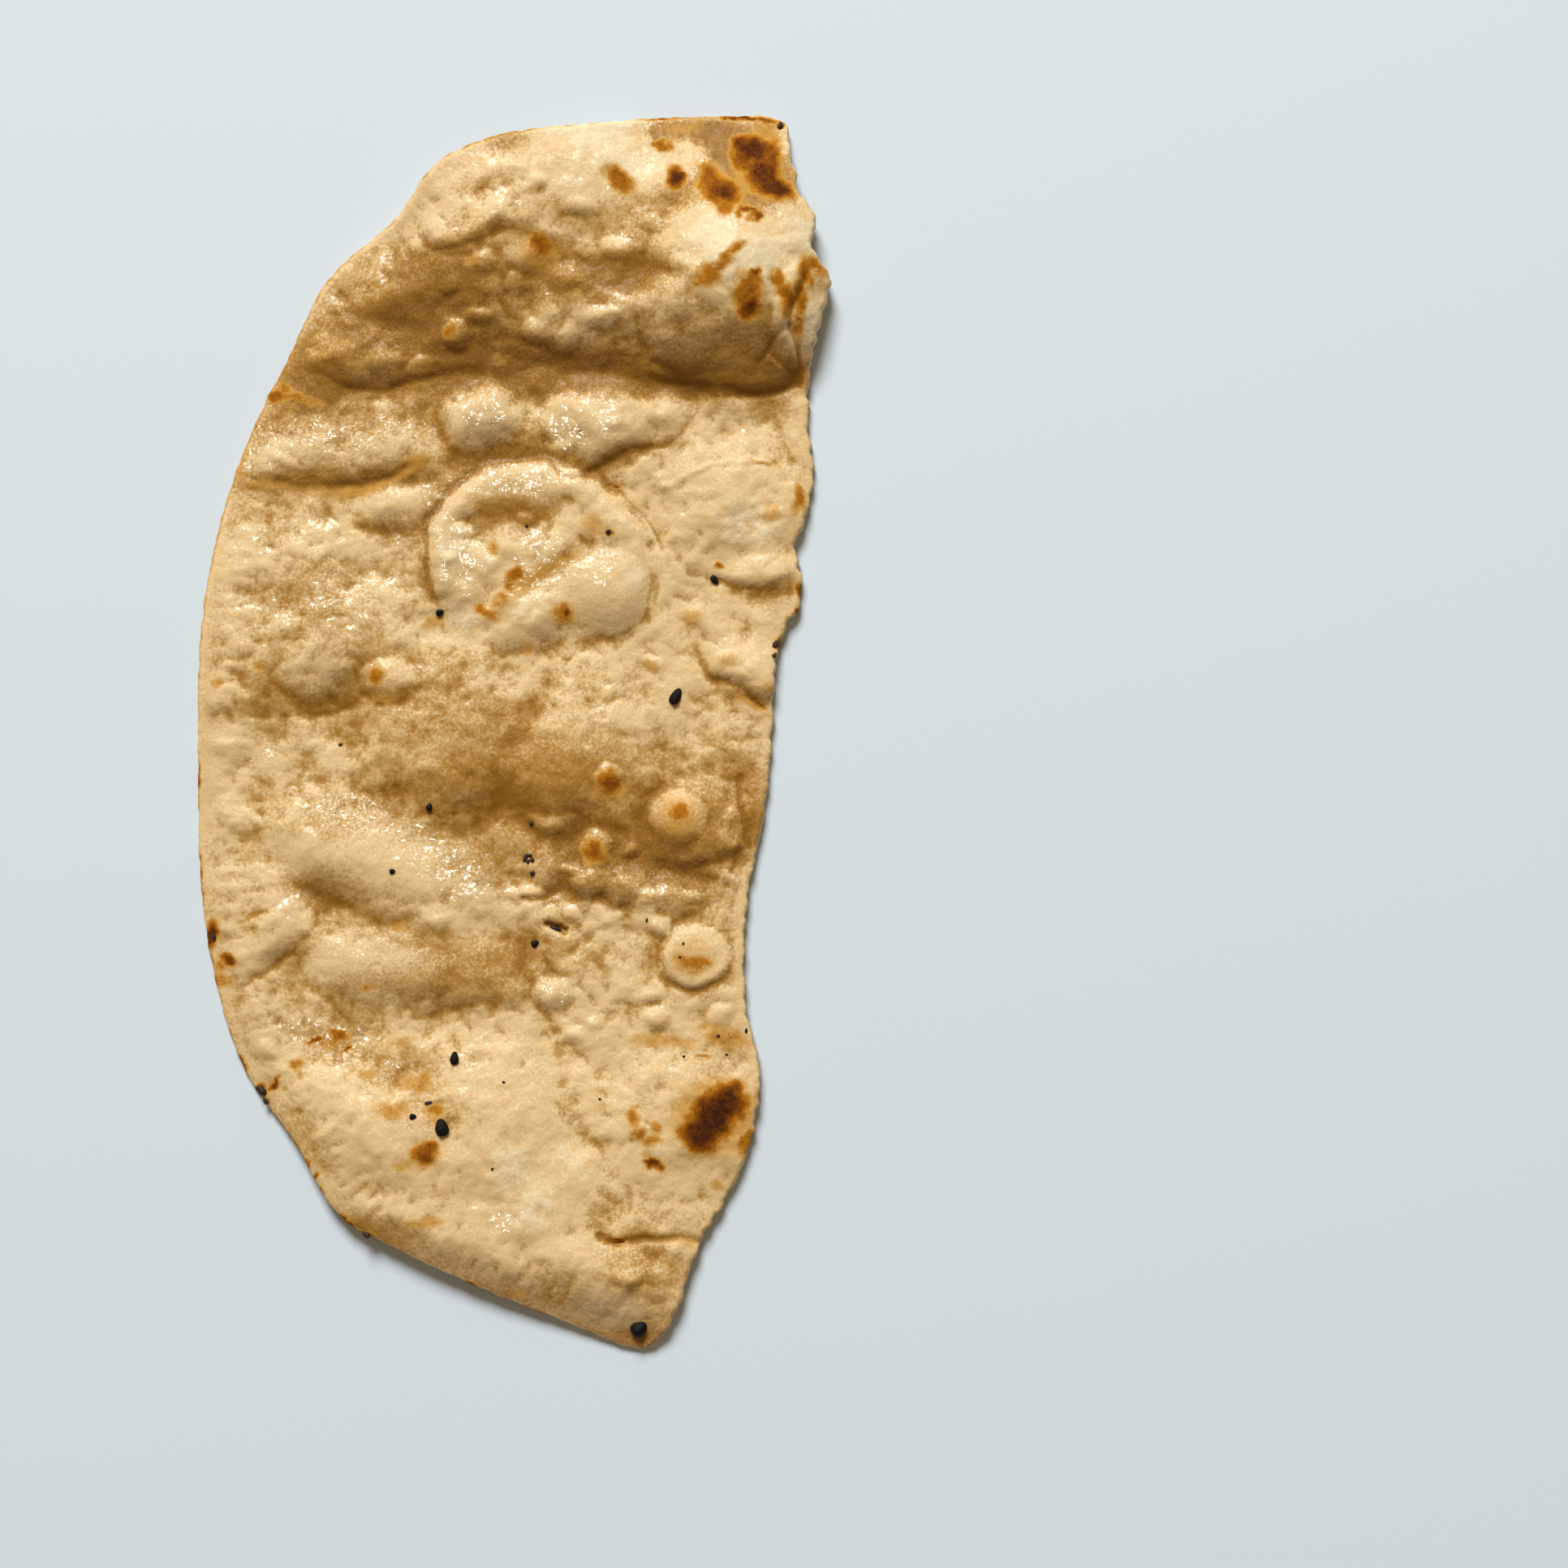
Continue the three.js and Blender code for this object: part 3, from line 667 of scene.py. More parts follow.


# ---------------------------------------------------------------- toast, char, ghee, and painted shade and light

# Toasted spots. A spot's value is how dark its middle is: 0.3 is golden, 0.6 orange-brown, 0.8 dark brown and
# 1 charred.
TOAST = [
    # the upper corner
    (19.8, 102.2, 3.6, 1.9, 0.66, -42), (18.9, 103.3, 2.4, 1.7, 0.5, -40), (30.3, 102.5, 2.2, 2.2, 1),
    (27, 108.9, 1.5, 1.1, 0.68), (28.6, 108.5, 1.8, 1, 0.55), (36.5, 103, 3.2, 1.8, 0.64, -68),
    (38.6, 99.6, 4.8, 3, 0.84, -25), (39.4, 96.6, 1.8, 2.2, 0.62), (39, 99.4, 3.4, 2.2, 0.96, -30),
    (37.4, 101.8, 3.4, 2.4, 0.74, -60), (48, 100.6, 3.6, 2.4, 0.98, -20), (42, 95.1, 1, 0.9, 0.72, 20),
    (45.2, 94.9, 1, 1.2, 0.84), (43.7, 96, 1.7, 0.8, 0.84, -6), (44, 94, 0.9, 0.5, 0.5),
    (44.6, 108, 4.4, 3.2, 1), (43, 109, 3, 2.4, 0.96), (46.4, 103.2, 3.6, 4.8, 0.96),
    (49, 100.2, 3.9, 2.2, 1, -18), (47.4, 101.4, 2.8, 2.6, 0.96), (41.5, 104.5, 4, 5, 0.12),
    (45.5, 107, 7, 7, 0.14), (43, 106.8, 2.8, 4, 0.82), (48, 106, 1.8, 5, 0.8), (45.5, 104.8, 4.4, 5.6, 0.52),
    (40.5, 114.2, 2.2, 0.6, 0.85, -4), (44.5, 114, 5, 0.6, 0.92, -4), (49.75, 113, 0.8, 1.4, 1, -30),
    (8.5, 107.75, 5.2, 1.6, 0.13), (5.5, 108.9, 2, 1.4, 0.16, 20), (1.5, 108, 2.4, 1.4, 0.16, -20),
    (31.5, 112.2, 4, 1.2, 0.3, 2), (47.25, 111.75, 3, 2, 0.36), (23.75, 111, 4, 1.4, 0.12),
    # the shoulder and the puff
    (5.2, 90.2, 2.3, 2.1, 0.72), (5, 88.4, 3.6, 3, 0.36), (41.25, 88.25, 2.8, 1, 0.56, 48),
    (39.25, 85.75, 2.4, 1.3, 0.56, 50), (36.75, 83.75, 2.4, 2, 0.6, 30), (35.25, 82.5, 1.8, 1.4, 0.52),
    (43.8, 80, 2.9, 4.4, 0.66), (44.2, 77.8, 2.6, 2.4, 0.86), (45, 84.25, 0.9, 0.8, 0.97),
    (44.6, 82.8, 1.1, 1.6, 0.6), (49.2, 83, 2.2, 1.3, 0.6, -50), (50.6, 80, 2.8, 1.5, 0.7, -72),
    (50.6, 77.4, 1.2, 1.6, 0.5, 10), (-11.25, 74.25, 1.3, 1.9, 0.55, -20), (-7.5, 86.75, 1.6, 1.2, 0.25),
    (54.2, 84.8, 1.4, 2.8, 0.66, 8), (53.2, 80, 1.2, 3.4, 0.62, 6), (52.9, 75.4, 1.1, 3, 0.5, 4),
    (55.6, 86.8, 1.9, 1.1, 0.62, 10), (57, 85.2, 1.2, 1.6, 0.5), (55.4, 83.6, 0.6, 2.6, 0.5, 12),
    (42, 65.5, 9, 1, 0.3, -3), (25.25, 67.75, 5, 1, 0.26, -18),
    # the left rim and the folds
    (-44.5, 62.5, 2.2, 1.2, 0.66, -10), (-42.75, 64.25, 1.6, 0.9, 0.55, -30),
    (-40.5, 62.25, 3.4, 0.8, 0.5, -8), (-37.75, 61.5, 3, 0.7, 0.42, -10), (-50.5, 50, 3, 0.9, 0.4, 75),
    (-56.25, 32.25, 2.6, 0.7, 0.45, 78), (-41.25, 46.25, 9, 1.2, 0.24, -3), (-27.75, 45.25, 6, 1.4, 0.34, 14),
    (-19.5, 49.25, 4, 1.4, 0.36, 28), (-35.5, 44, 5, 0.8, 0.22),
    # the large blister
    (0.5, 29.25, 1.6, 1.5, 0.66), (-0.5, 27.25, 1.2, 1.6, 0.5, 20), (-4.75, 22.25, 2.6, 0.9, 0.52, -35),
    (-5.75, 22.75, 1.4, 0.8, 0.6, -20), (-2, 25, 3.4, 1.1, 0.42, 50), (3, 28, 7, 1.6, 0.3, 40),
    (9, 31.5, 5, 1.2, 0.26, 32), (9.75, 22.25, 1, 0.9, 0.92), (9.5, 22, 2.4, 2.2, 0.5),
    (17.75, 37, 0.6, 0.6, 0.9), (15, 38.5, 3, 1.6, 0.28, -20), (-3.75, 34.25, 1.3, 1.3, 0.45),
    (-14.75, 20.75, 2.6, 1.1, 0.34, 20), (2.75, 15.5, 1.3, 1.2, 0.34), (-2.75, 42.5, 6, 1.4, 0.24, 2),
    # the mound and the cut
    (48, 40.75, 1.7, 1.5, 0.34), (53.5, 43.5, 0.9, 2.6, 0.62, 8), (53, 42, 1.5, 1.4, 0.42),
    (46.5, 50, 2.4, 0.4, 0.45, -8), (38.25, 30.75, 0.9, 0.8, 0.8), (19.25, 45.75, 1.1, 0.35, 0.95, -8),
    (53.5, 25.5, 0.9, 2.4, 0.78, 15), (53, 22.25, 0.8, 1.2, 0.85, 15), (50, 16.25, 1.1, 1.9, 1),
    (49.5, 14.5, 0.9, 0.9, 0.95), (33.5, 21.5, 1.6, 1.4, 0.3), (25.75, 12.5, 1.5, 1.2, 0.28),
    (40, 13.5, 1.7, 1.4, 0.28), (48, 8, 2, 1.2, 0.26, -30), (44.25, 5.25, 5, 0.7, 0.3, -32),
    # the middle
    (-25.25, 10.75, 1.5, 1.9, 0.6, -20), (-23, 6.25, 2.2, 0.8, 0.36), (-47, 12, 0.8, 1.4, 0.36),
    (-55, 9, 1.1, 0.9, 0.42, -20), (17.75, -9.25, 2.6, 2.4, 0.68), (18, -10, 3.2, 2.4, 0.4),
    (31, -14.8, 2, 2.1, 0.62), (30.6, -15.2, 3.6, 3.4, 0.34), (14.8, -22, 2.1, 2.4, 0.7),
    (15.75, -23.25, 2.4, 1.4, 0.45), (33.2, -43, 3, 1.7, 0.54, -4), (31.4, -42.4, 1.8, 1.6, 0.48),
    (35.5, -42.75, 1.6, 1, 0.5), (33, -41.75, 4.4, 4.2, 0.2), (-32.25, -2.25, 0.6, 0.6, 0.6),
    (-27, -47.25, 1.2, 1, 0.4), (-21.25, -36.5, 1.2, 1, 0.35), (-49.25, -34.25, 2, 0.5, 0.34, 18),
    (-56.25, -37.75, 1.4, 2.8, 0.95, -10), (-53.25, -42.25, 1.9, 1.2, 0.86, -25),
    (-54.25, -46, 2.2, 1.3, 0.42), (-55, -43.5, 1.6, 1.2, 0.5),
    # the oily patch and the lower left
    (-32.5, -56.5, 1.9, 1.1, 0.7), (-33.75, -55.75, 1.2, 0.8, 0.5), (-37, -57.25, 2.2, 0.45, 0.9, 28),
    (-31.25, -58.75, 1.7, 0.4, 0.92, 32), (-34.25, -57.75, 2, 1, 0.4), (-21.75, -58, 3, 1.4, 0.24),
    (-40.5, -61.75, 1.3, 0.9, 0.5), (-39.5, -63.5, 1, 0.6, 0.36, -40), (-50.75, -62, 1, 2, 0.72),
    (-47.5, -67, 1.1, 2, 1, -32), (-44.5, -65.5, 0.6, 2.1, 0.88, -35), (-46.5, -69.25, 0.6, 1.6, 0.85, -30),
    (-27.25, -63.25, 1.8, 0.8, 0.42), (-17.75, -65.5, 3, 1.3, 0.4, -10), (-16.25, -64.25, 1.2, 1.6, 0.45, 20),
    (-22.5, -70, 3.1, 1.7, 0.42), (-14.25, -70, 1.9, 0.9, 0.54), (-14.25, -71.25, 1.6, 1.8, 0.3),
    (-16.25, -78, 2.8, 2.4, 0.76), (-15.25, -77.25, 1.6, 1.8, 0.8), (-20.25, -80.25, 2, 1.2, 0.34, 20),
    (-16.25, -90.75, 3.6, 1.2, 0.36, 8), (-38.75, -80.75, 0.8, 2, 0.8, -35),
    (-37.25, -83, 0.6, 1.8, 0.75, -40), (-31.5, -90, 1, 0.6, 0.85), (-30, -91.75, 2, 0.6, 0.75, -40),
    (-27.5, -93.5, 1.8, 0.9, 0.85), (1, -104.25, 1.4, 0.5, 0.4),
    # the lower right
    (39.3, -69, 4.8, 4.4, 1.02, 20), (35, -74.6, 4.5, 4, 1.02, -20), (37.2, -71.4, 5.6, 4.8, 1.06, 50),
    (36, -70.5, 3, 2.4, 1.02, 40), (37, -71.7, 7.2, 6.8, 0.46, 45), (41.25, -66.25, 2.4, 2, 0.8),
    (32.75, -71.5, 1.8, 1.4, 0.6), (22.4, -71.6, 1.3, 1.9, 0.5, 10), (23.4, -74.4, 1.3, 1.5, 0.54, -30),
    (25.6, -75.6, 2, 1.1, 0.5, -10), (26.5, -73.3, 0.9, 1.4, 0.46), (25.7, -79.9, 1.5, 0.9, 0.95, -10),
    (27, -80.5, 1.3, 0.9, 0.66, -35), (25, -78, 1, 1, 0.34), (43.2, -76.4, 1.5, 2.8, 0.58, -20),
    (45.75, -68, 0.8, 2.4, 0.48, 8), (37.75, -84.5, 1.4, 1, 0.34), (28.25, -57.5, 6.4, 1.3, 0.34, -6),
    (39.25, -56.5, 4.8, 1.8, 0.42, -14), (35.25, -60.25, 1.6, 0.5, 0.5), (46.5, -60.25, 1, 3, 0.34),
    (19.5, -94.25, 1.9, 0.4, 0.9, -6), (32.75, -94.75, 3, 0.9, 0.28, -4),
    (19.25, -101.25, 3.4, 0.9, 0.2, -60), (27, -53.5, 2.6, 1, 0.18),
]

# Where ghee lies thickest and glints. A spot's value is how much there is.
GHEE = [
    (-11, 33, 6, 9, 1), (5, 31, 9, 5, 0.8, 30), (-2, 47, 14, 3.5, 0.9), (-13, 40, 3.5, 9, 0.9, 15),
    (-32, 56, 20, 2.6, 1), (-30, 51, 18, 4, 0.5), (-48, 51, 6, 6, 0.7), (-20, 38, 6, 6, 0.6),
    (-38, 25, 18, 12, 0.45), (-28.5, -14.6, 8, 3.6, 1.2, -8), (-16, -18, 5, 1.6, 0.8, -30),
    (-46, -4, 3, 1.6, 1), (-12, -26, 12, 6, 0.7, -30), (12, 57, 9, 6, 1), (-6, 60, 6, 5, 0.9),
    (-35, -56, 11, 3.4, 1, -10), (-21, -61.5, 3, 1.4, 1), (-8, 75, 50, 22, 0.3), (-1, -90, 5, 3, 0.9),
    (7, -48, 4, 4, 0.8), (14, 27, 9, 9, 0.5), (20, -28, 24, 8, 0.45), (-24, -43, 12, 5, 0.5, -10),
    (-42, -30, 7, 6, 0.5),
]

SPOT_CORE = 0.3  # where a spot begins to fade, as a share of its size
PALE_SKIRT, DARK_SKIRT = 2.0, 1.4  # where it ends: a golden one fades slowly, a charred one fast
TOAST_WANDER, UNDER_WANDER, GHEE_WANDER = 0.55, 1.2, 1.5  # how far the spots' edges wander, in mm


def spotted(spots, x, y, wander):
    """The strongest of the spots at each point, their edges made uneven."""
    wx, wy = wandered(x, y, (wander, 2.6, 111, 113), (0.6 * wander, 1.2, 112, 114))
    strongest = np.zeros_like(x)
    for spot in spots:
        spot = Spot(*spot)
        skirt = PALE_SKIRT + (DARK_SKIRT - PALE_SKIRT) * min(spot.value, 1)
        strongest = np.maximum(strongest, spot.value * fading(spot, wx, wy, SPOT_CORE, skirt))
    return strongest


# Where the bread is more golden (a value above 0) or paler (below 0): partly its baked colour, partly painted
# shade on slopes in shade and painted light on slopes that catch the window.
TONES_AND_SHADE = [
    # the upper corner and the shoulder
    (14, 103.5, 13, 5, -1.1), (26, 105.5, 9, 4, -1.3), (33, 105, 4, 4, -0.6), (-16, 98, 12, 7, -0.5, 30),
    (17, 92, 8, 6, -0.4), (25, 110.5, 7, 4, 0.4), (18, 111.5, 8, 4, -1.6), (40, 105.5, 4.5, 6, 1.8),
    (46.5, 101.5, 9, 7, 2), (30, 101, 9, 4, 0.1), (38.5, 110.5, 6, 4, 1.5), (46, 106, 7, 8, 0.7),
    (51, 91.5, 9, 7, -1.1), (31, 112, 12, 3.5, 1.2), (46, 109, 5, 5, 1), (13, 111, 12, 4, -1),
    (37, 91, 8, 6, -0.8), (36, 93, 6, 5, -0.8), (46, 93, 6, 4, 0.6), (38, 101, 12, 8, 1),
    (22, 93, 10, 6, 0.6), (-1, 111, 6, 5, 1.5), (-6, 101, 9, 5, 0.5), (43, 86.5, 9, 5, -1.5),
    (42, 82, 9, 6, -1.2), (44, 74, 7, 4, 0.3), (53, 75, 5, 6, -0.8), (45, 83, 7, 5, -0.3),
    (30, 97, 8, 5, 0.5), (56, 74, 3, 8, -1), (-24, 72, 32, 22, 0.35, -20), (-22, 82, 20, 9, 0.6, 38),
    (-18, 93, 8, 6, -0.5), (-6, 92, 10, 5, 0.7), (-12, 76, 16, 8, 0.5), (16, 84, 18, 6, 1.7),
    (-12, 84, 12, 6, 1.9), (-24, 75, 10, 6, 0.8, 20), (-37, 74, 8, 6, -0.1, 40), (-19, 74.5, 7, 4, 0.4),
    (13, 75, 8, 5, -0.4), (54, 75, 4, 6, -0.8), (-18, 84, 12, 4, 0.4), (-28, 74, 16, 7, 0.6, 10),
    (-40, 64, 9, 8, 1.2, 40), (-12, 67, 10, 6, 0.7), (40, 68, 14, 5, 0.6), (14, 66, 18, 5, 0.6),
    (4, 67, 22, 6, 0.9), (48, 66, 10, 4, 0.5), (36, 56, 16, 6, -0.5),
    # from the left fold to the mound at the cut
    (-36, 57, 16, 4, 0.5), (-28, 56.5, 7, 4, 0.5), (-34, 47, 18, 3, 0.7, 2), (-26, 38, 9, 6, -0.5),
    (-22, 38.5, 8, 3, 0.7), (-37, 65, 7, 5, 0.8), (-51, 32, 5, 8, -0.4), (-32, 65, 6, 5, 0.4),
    (-46, 56, 6, 4, 0.5), (23, 65, 16, 5, 0.9), (-24, 75, 22, 6, 0.4, 10), (10, 57, 20, 5, -0.8),
    (-7, 57, 8, 6, -0.7), (-4, 47, 20, 5, 0.2), (-54, 50, 6, 16, 0.3, -12), (-46, 38, 7, 6, 0.5),
    (26, 47, 8, 7, -0.4), (22, 38, 12, 9, -0.4), (0, 40, 7, 4, 0.7), (-8, 31, 9, 7, -1.1),
    (10, 21, 26, 7, -0.5), (-11, 20, 8, 5, -1.1), (27, 29, 5, 5, -0.6), (13, 38, 7, 5, -0.4),
    (45, 46, 6, 5, -0.4), (-37, 27, 9, 7, 0.8), (0, 38, 8, 6, 0.5), (-13, 38, 8, 6, -0.7),
    (9, 46, 9, 3, -0.7, -20), (44, 38, 8, 7, -1.6), (40, 56, 13, 5, -0.5), (34, 29, 18, 6, -0.4),
    (30, 40, 16, 14, -0.5), (2, 34, 14, 14, -0.3), (17, 24, 12, 12, -0.5), (-6, 20, 20, 7, -0.6),
    (-26, 40, 14, 7, -0.2), (-34, 30, 22, 7, -0.2), (-34, 18, 20, 9, 0.4), (34, 16, 22, 16, -0.5),
    # the middle
    (-44, 7, 12, 5, 0.6), (-10, 4, 14, 6, 0.45), (10, 8, 14, 7, 0.5), (-37, 11, 8, 6, -0.7),
    (-12, 10, 10, 6, 0.3), (2, 10, 10, 6, -0.5), (9, 2, 8, 6, -0.3), (-9, 14, 8, 5, 0.4), (-9, -7, 7, 4, 0.6),
    (-10, -1, 30, 14, 0.6, 4), (0, 10, 7, 6, -0.5), (26, 1, 9, 6, -0.5), (18, -12, 26, 10, 0.6),
    (8, -8, 9, 7, 0.6), (0, -16, 7, 6, 0.6), (12, -3, 20, 6, 0.5), (41, -13, 9, 12, 1.2), (8, -35, 7, 6, 0.4),
    (-34, -18, 8, 4, 0.5), (-9, -26, 7, 4, 0.5), (45, -17, 4, 5, 0.6), (8, -45, 7, 5, -0.5),
    (-4, -50, 14, 4, -0.4), (-13, -12, 18, 8, 0.3, 10), (-40, -6, 22, 6, -0.5), (-56, -8, 9, 16, -0.6),
    (-40, -12, 14, 8, 0.4, -12), (24, -25, 20, 9, 1.5), (36, -25, 7, 5, -0.4), (36, -8, 8, 5, -0.5),
    (0, -22, 16, 6, 0.5), (20, -34, 14, 6, -0.9), (-14, -30, 22, 5, -0.4, -20), (-4, -44, 22, 7, 1.2),
    (-5, -35, 10, 5, -0.7), (-19, -43, 6, 5, -0.4), (-42, -23, 7, 5, -0.8), (-42, -43, 12, 6, -0.5),
    (-28, -34.5, 14, 4, -0.4), (-54, -44, 12, 14, -0.2, 20),
    # the lower third
    (-14, -53, 30, 5, -0.7, -4), (24, -52, 24, 9, -0.8), (-46, -61, 7, 6, -0.8), (8, -62, 5, 6, -0.7),
    (-14, -71, 9, 5, 0.3), (-18, -61, 16, 5, 0.6), (-16, -71, 9, 4, 0.3), (-28, -93, 8, 3, 0.6, -25),
    (-9, -98, 7, 3, 0.4), (0, -80, 7, 5, -0.4), (17, -62, 7, 6, -0.6), (-4, -80, 42, 26, -0.4),
    (14, -76, 34, 5, -0.3), (-22, -68, 20, 7, 0.3, -20), (8, -86, 14, 14, -0.5), (0, -88, 12, 8, -0.6),
    (32, -80, 12, 8, -0.8), (-22, -80, 14, 6, -0.6), (20, -90, 12, 5, 0.4), (23, -98, 12, 6, 1, -20),
    (8, -106, 9, 5, -0.8, -20), (18, -107, 7, 5, -1.6), (8, -104, 6, 4, 0.6), (-23, -91, 10, 5, 0.4),
    (-8, -98, 9, 5, -0.7, -20),
]
TONE_CORE, TONE_SKIRT = 0.3, 1.25  # where a tone begins and ends to fade, as shares of its size

# Seams between the layers of dough, baked more golden than the skin beside them, and painted shade along the
# feet of the waves, folds and blisters.
SEAMS_AND_SHADE = [
    Line(2.2, 0.5, [  # down the middle
        (2, -38), (2.5, -46.1), (3.7, -49.5), (6, -53.5), (8.1, -58.2), (8.7, -62.2),
    ]),
    Line(3, 0.61, [
        (8.7, -60), (9.4, -68.3), (11.4, -72.4), (14.5, -76.4), (16.4, -80.4), (16.7, -85.1), (15.8, -90),
    ]),
    Line(1.8, 0.5, [  # left of a pillow
        (20.5, -55.5), (18.5, -57.5), (17.2, -61.6), (16.4, -66.3), (16.8, -70.4),
    ]),
    Line(2.1, 0.66, [(11, -52), (14, -51.5), (17.5, -52.5), (22, -52.5), (26.5, -51), (30, -50)]),  # soft arc
    Line(3.8, 0.39, [  # under the first wave
        (-43, -28), (-37, -31), (-31, -34), (-25, -35.5), (-20, -37.5), (-13, -40),
    ]),
    Line(3, 0.5, [(-50, -49), (-45, -46), (-40, -41.5), (-36.5, -36), (-35.5, -32.5)]),  # under its root
    Line(3.8, 0.44, [  # under the second wave
        (-41, -48), (-34, -51), (-28, -53), (-20, -52.5), (-10, -51), (0, -51),
    ]),
    Line(2, 0.66, [  # round the large blister
        (27, 25.5), (26, 32), (23.5, 38), (20, 43.5), (15.5, 47.5), (10, 50.2), (4, 51.5), (-2, 50.8),
        (-7, 49), (-11.5, 46), (-14.5, 41.5), (-16.2, 37), (-16.7, 31.5), (-15.8, 26), (-13.2, 20.5),
        (-11, 15.5),
    ]),
    Line(2.1, 0.61, [(-5, 21), (-1, 25.5), (4, 29), (9, 32.5), (13, 35.5), (17, 36)]),  # across it
    Line(2.4, 0.55, [  # round its smooth dome
        (13.5, 17), (18.5, 16.8), (23.5, 19.5), (26.2, 25), (25.5, 30),
    ]),
    Line(2.4, 0.66, [  # cap
        (5, 58), (5.5, 52), (8, 48.5), (12.5, 46.8), (16, 49), (21, 52), (26, 52.5), (31, 55),
    ]),
    Line(3, 0.61, [(-13, 62), (-13.5, 56), (-10.5, 51.5), (-5, 49.8), (0.5, 52), (2.5, 56)]),  # round blister
    Line(3, 0.5, [(-54, 47), (-41, 45.5), (-30, 44.5), (-23, 46.5), (-17, 50)]),  # left fold
    Line(2.4, 0.5, [(-29, 40), (-26, 37), (-21.5, 36), (-17, 38), (-15, 41)]),  # small swell under it
    Line(2.1, 0.5, [(30.5, 32), (33, 30), (36, 28.3), (41, 26.5), (46, 26), (51, 26)]),  # mound at the cut
    Line(2.1, 0.5, [(33, 15.5), (35, 13), (38, 9.5), (43, 7), (48, 4)]),  # lobe lower down
    Line(1.8, 0.55, [  # ring blister
        (23.5, -12), (24, -18), (27.5, -21.8), (32, -22), (36, -19.5), (37.5, -15),
    ]),
    Line(1.8, 0.5, [  # flat-topped blister
        (26.8, -38), (26.3, -43), (29, -47.5), (34, -49), (39, -47.3), (41, -43),
    ]),
]


def tone_and_shade(x, y):
    """The sum of the tones, each fading out smoothly, and of the seams, which wander a little: baked colour
    with painted shade and light.
    """
    wx, wy = wandered(x, y, (0.7, 5, 151, 152))
    total = sum(line_height(seam_and_shade, wx, wy) for seam_and_shade in SEAMS_AND_SHADE)
    for tone in TONES_AND_SHADE:
        tone = Spot(*tone)
        total += tone.value * fading(tone, x, y, TONE_CORE, TONE_SKIRT)
    return total


def rim_heat(x, y, wall):
    """The baked rim is browned where it is thinnest, in patches, and darkest on its wall."""
    rim_inset, place = edge.nearest(x, y, True)
    along = edge.along[place]
    patchy = 0.5 + 0.5 * noise(along, 0 * along, 9, 131) + 0.35 * noise(along, 0 * along, 2.4, 132)
    near = 1 - smoothstep(rim_inset, 0.05, 0.4 + 0.8 * np.clip(patchy, 0, 1))
    return np.clip(patchy, 0.2, 1.1) ** 2 * near * np.where(wall, 0.95, 0.75)


def smoothed(values, edges, rounds):
    """Values averaged with their neighbours' over and over."""
    a, b = edges.T
    ties = np.bincount(a, minlength=len(values)) + np.bincount(b, minlength=len(values))
    for _ in range(rounds):
        near = np.bincount(a, values[b], len(values)) + np.bincount(b, values[a], len(values))
        values = 0.5 * values + 0.5 * near / ties
    return values


def paint(piece, name, values):
    attribute = piece.data.attributes.new(name, "FLOAT", "POINT")
    attribute.data.foreach_set("value", np.asarray(values, np.float32))


SPOTS_BELOW = 70  # toasted spots on the underside
HOLLOW_ROUNDS = (6, 30, 260)  # rounds of smoothing against which creases, hollows and deep hollows are found, for the painted shade
FACING_ROUNDS = 4


def mark_skin(piece, points, top_count, ring_count):
    """Writes what the skin's material needs to know at each point."""
    x, y, z = points.T
    count = len(points)
    place = np.arange(count)
    under = place >= top_count + ring_count * WALL_RINGS
    wall = (place >= top_count) & ~under
    normals = np.zeros(3 * count, np.float32)
    piece.data.vertex_normals.foreach_get("vector", normals)
    ties = np.zeros(2 * len(piece.data.edges), np.int32)
    piece.data.edges.foreach_get("vertices", ties)
    ties = ties.reshape(-1, 2)
    toast = np.maximum(spotted(TOAST, x, y, TOAST_WANDER), rim_heat(x, y, wall))
    spread = np.random.default_rng(7)
    spots_below = [
        (*spread.uniform((-50, -105), (50, 105)), *spread.uniform(1.2, 5, 2), heat, spread.uniform(0, 180))
        for heat in spread.uniform(0.25, 0.85, SPOTS_BELOW)
    ]
    toast = np.where(under, spotted(spots_below, x, y, UNDER_WANDER), toast)
    # Crease, hollow and deep-hollow depths, measured against smoothed heights, drive the painted shade in the
    # skin's colour.
    seam_and_shade, hollow, deep = (smoothed(z, ties, rounds) - z for rounds in HOLLOW_ROUNDS)
    upper = ~(under | wall)
    paint(piece, "toast", toast)
    paint(piece, "crumb", wall & (edge.nearest(x, y, False)[0] < 1))
    paint(piece, "under", under)
    paint(piece, "seam_and_shade", seam_and_shade * upper)
    # How far each point faces the window (+Y): it drives painted shade on slopes facing away and painted
    # highlights on slopes facing it.
    paint(piece, "facing", smoothed(normals.reshape(-1, 3)[:, 1], ties, FACING_ROUNDS) * upper)
    paint(piece, "hollow", hollow * upper)
    paint(piece, "deep", deep * upper)
    paint(piece, "tone", np.where(under, 0, tone_and_shade(x, y)))
    paint(piece, "ghee", spotted(GHEE, x, y, GHEE_WANDER) * upper)


# ---------------------------------------------------------------- materials


def rgb(*channels):
    """A screen colour, 0 to 255 a channel, as the linear colour a shader takes."""
    shares = [channel / 255 for channel in channels]
    return (*(c / 12.92 if c <= 0.04045 else ((c + 0.055) / 1.055) ** 2.4 for c in shares), 1)


MIX_COLOR_A, MIX_COLOR_B, MIX_COLOR = 6, 7, 2  # a Mix node's colour sockets, whose names aren't theirs alone


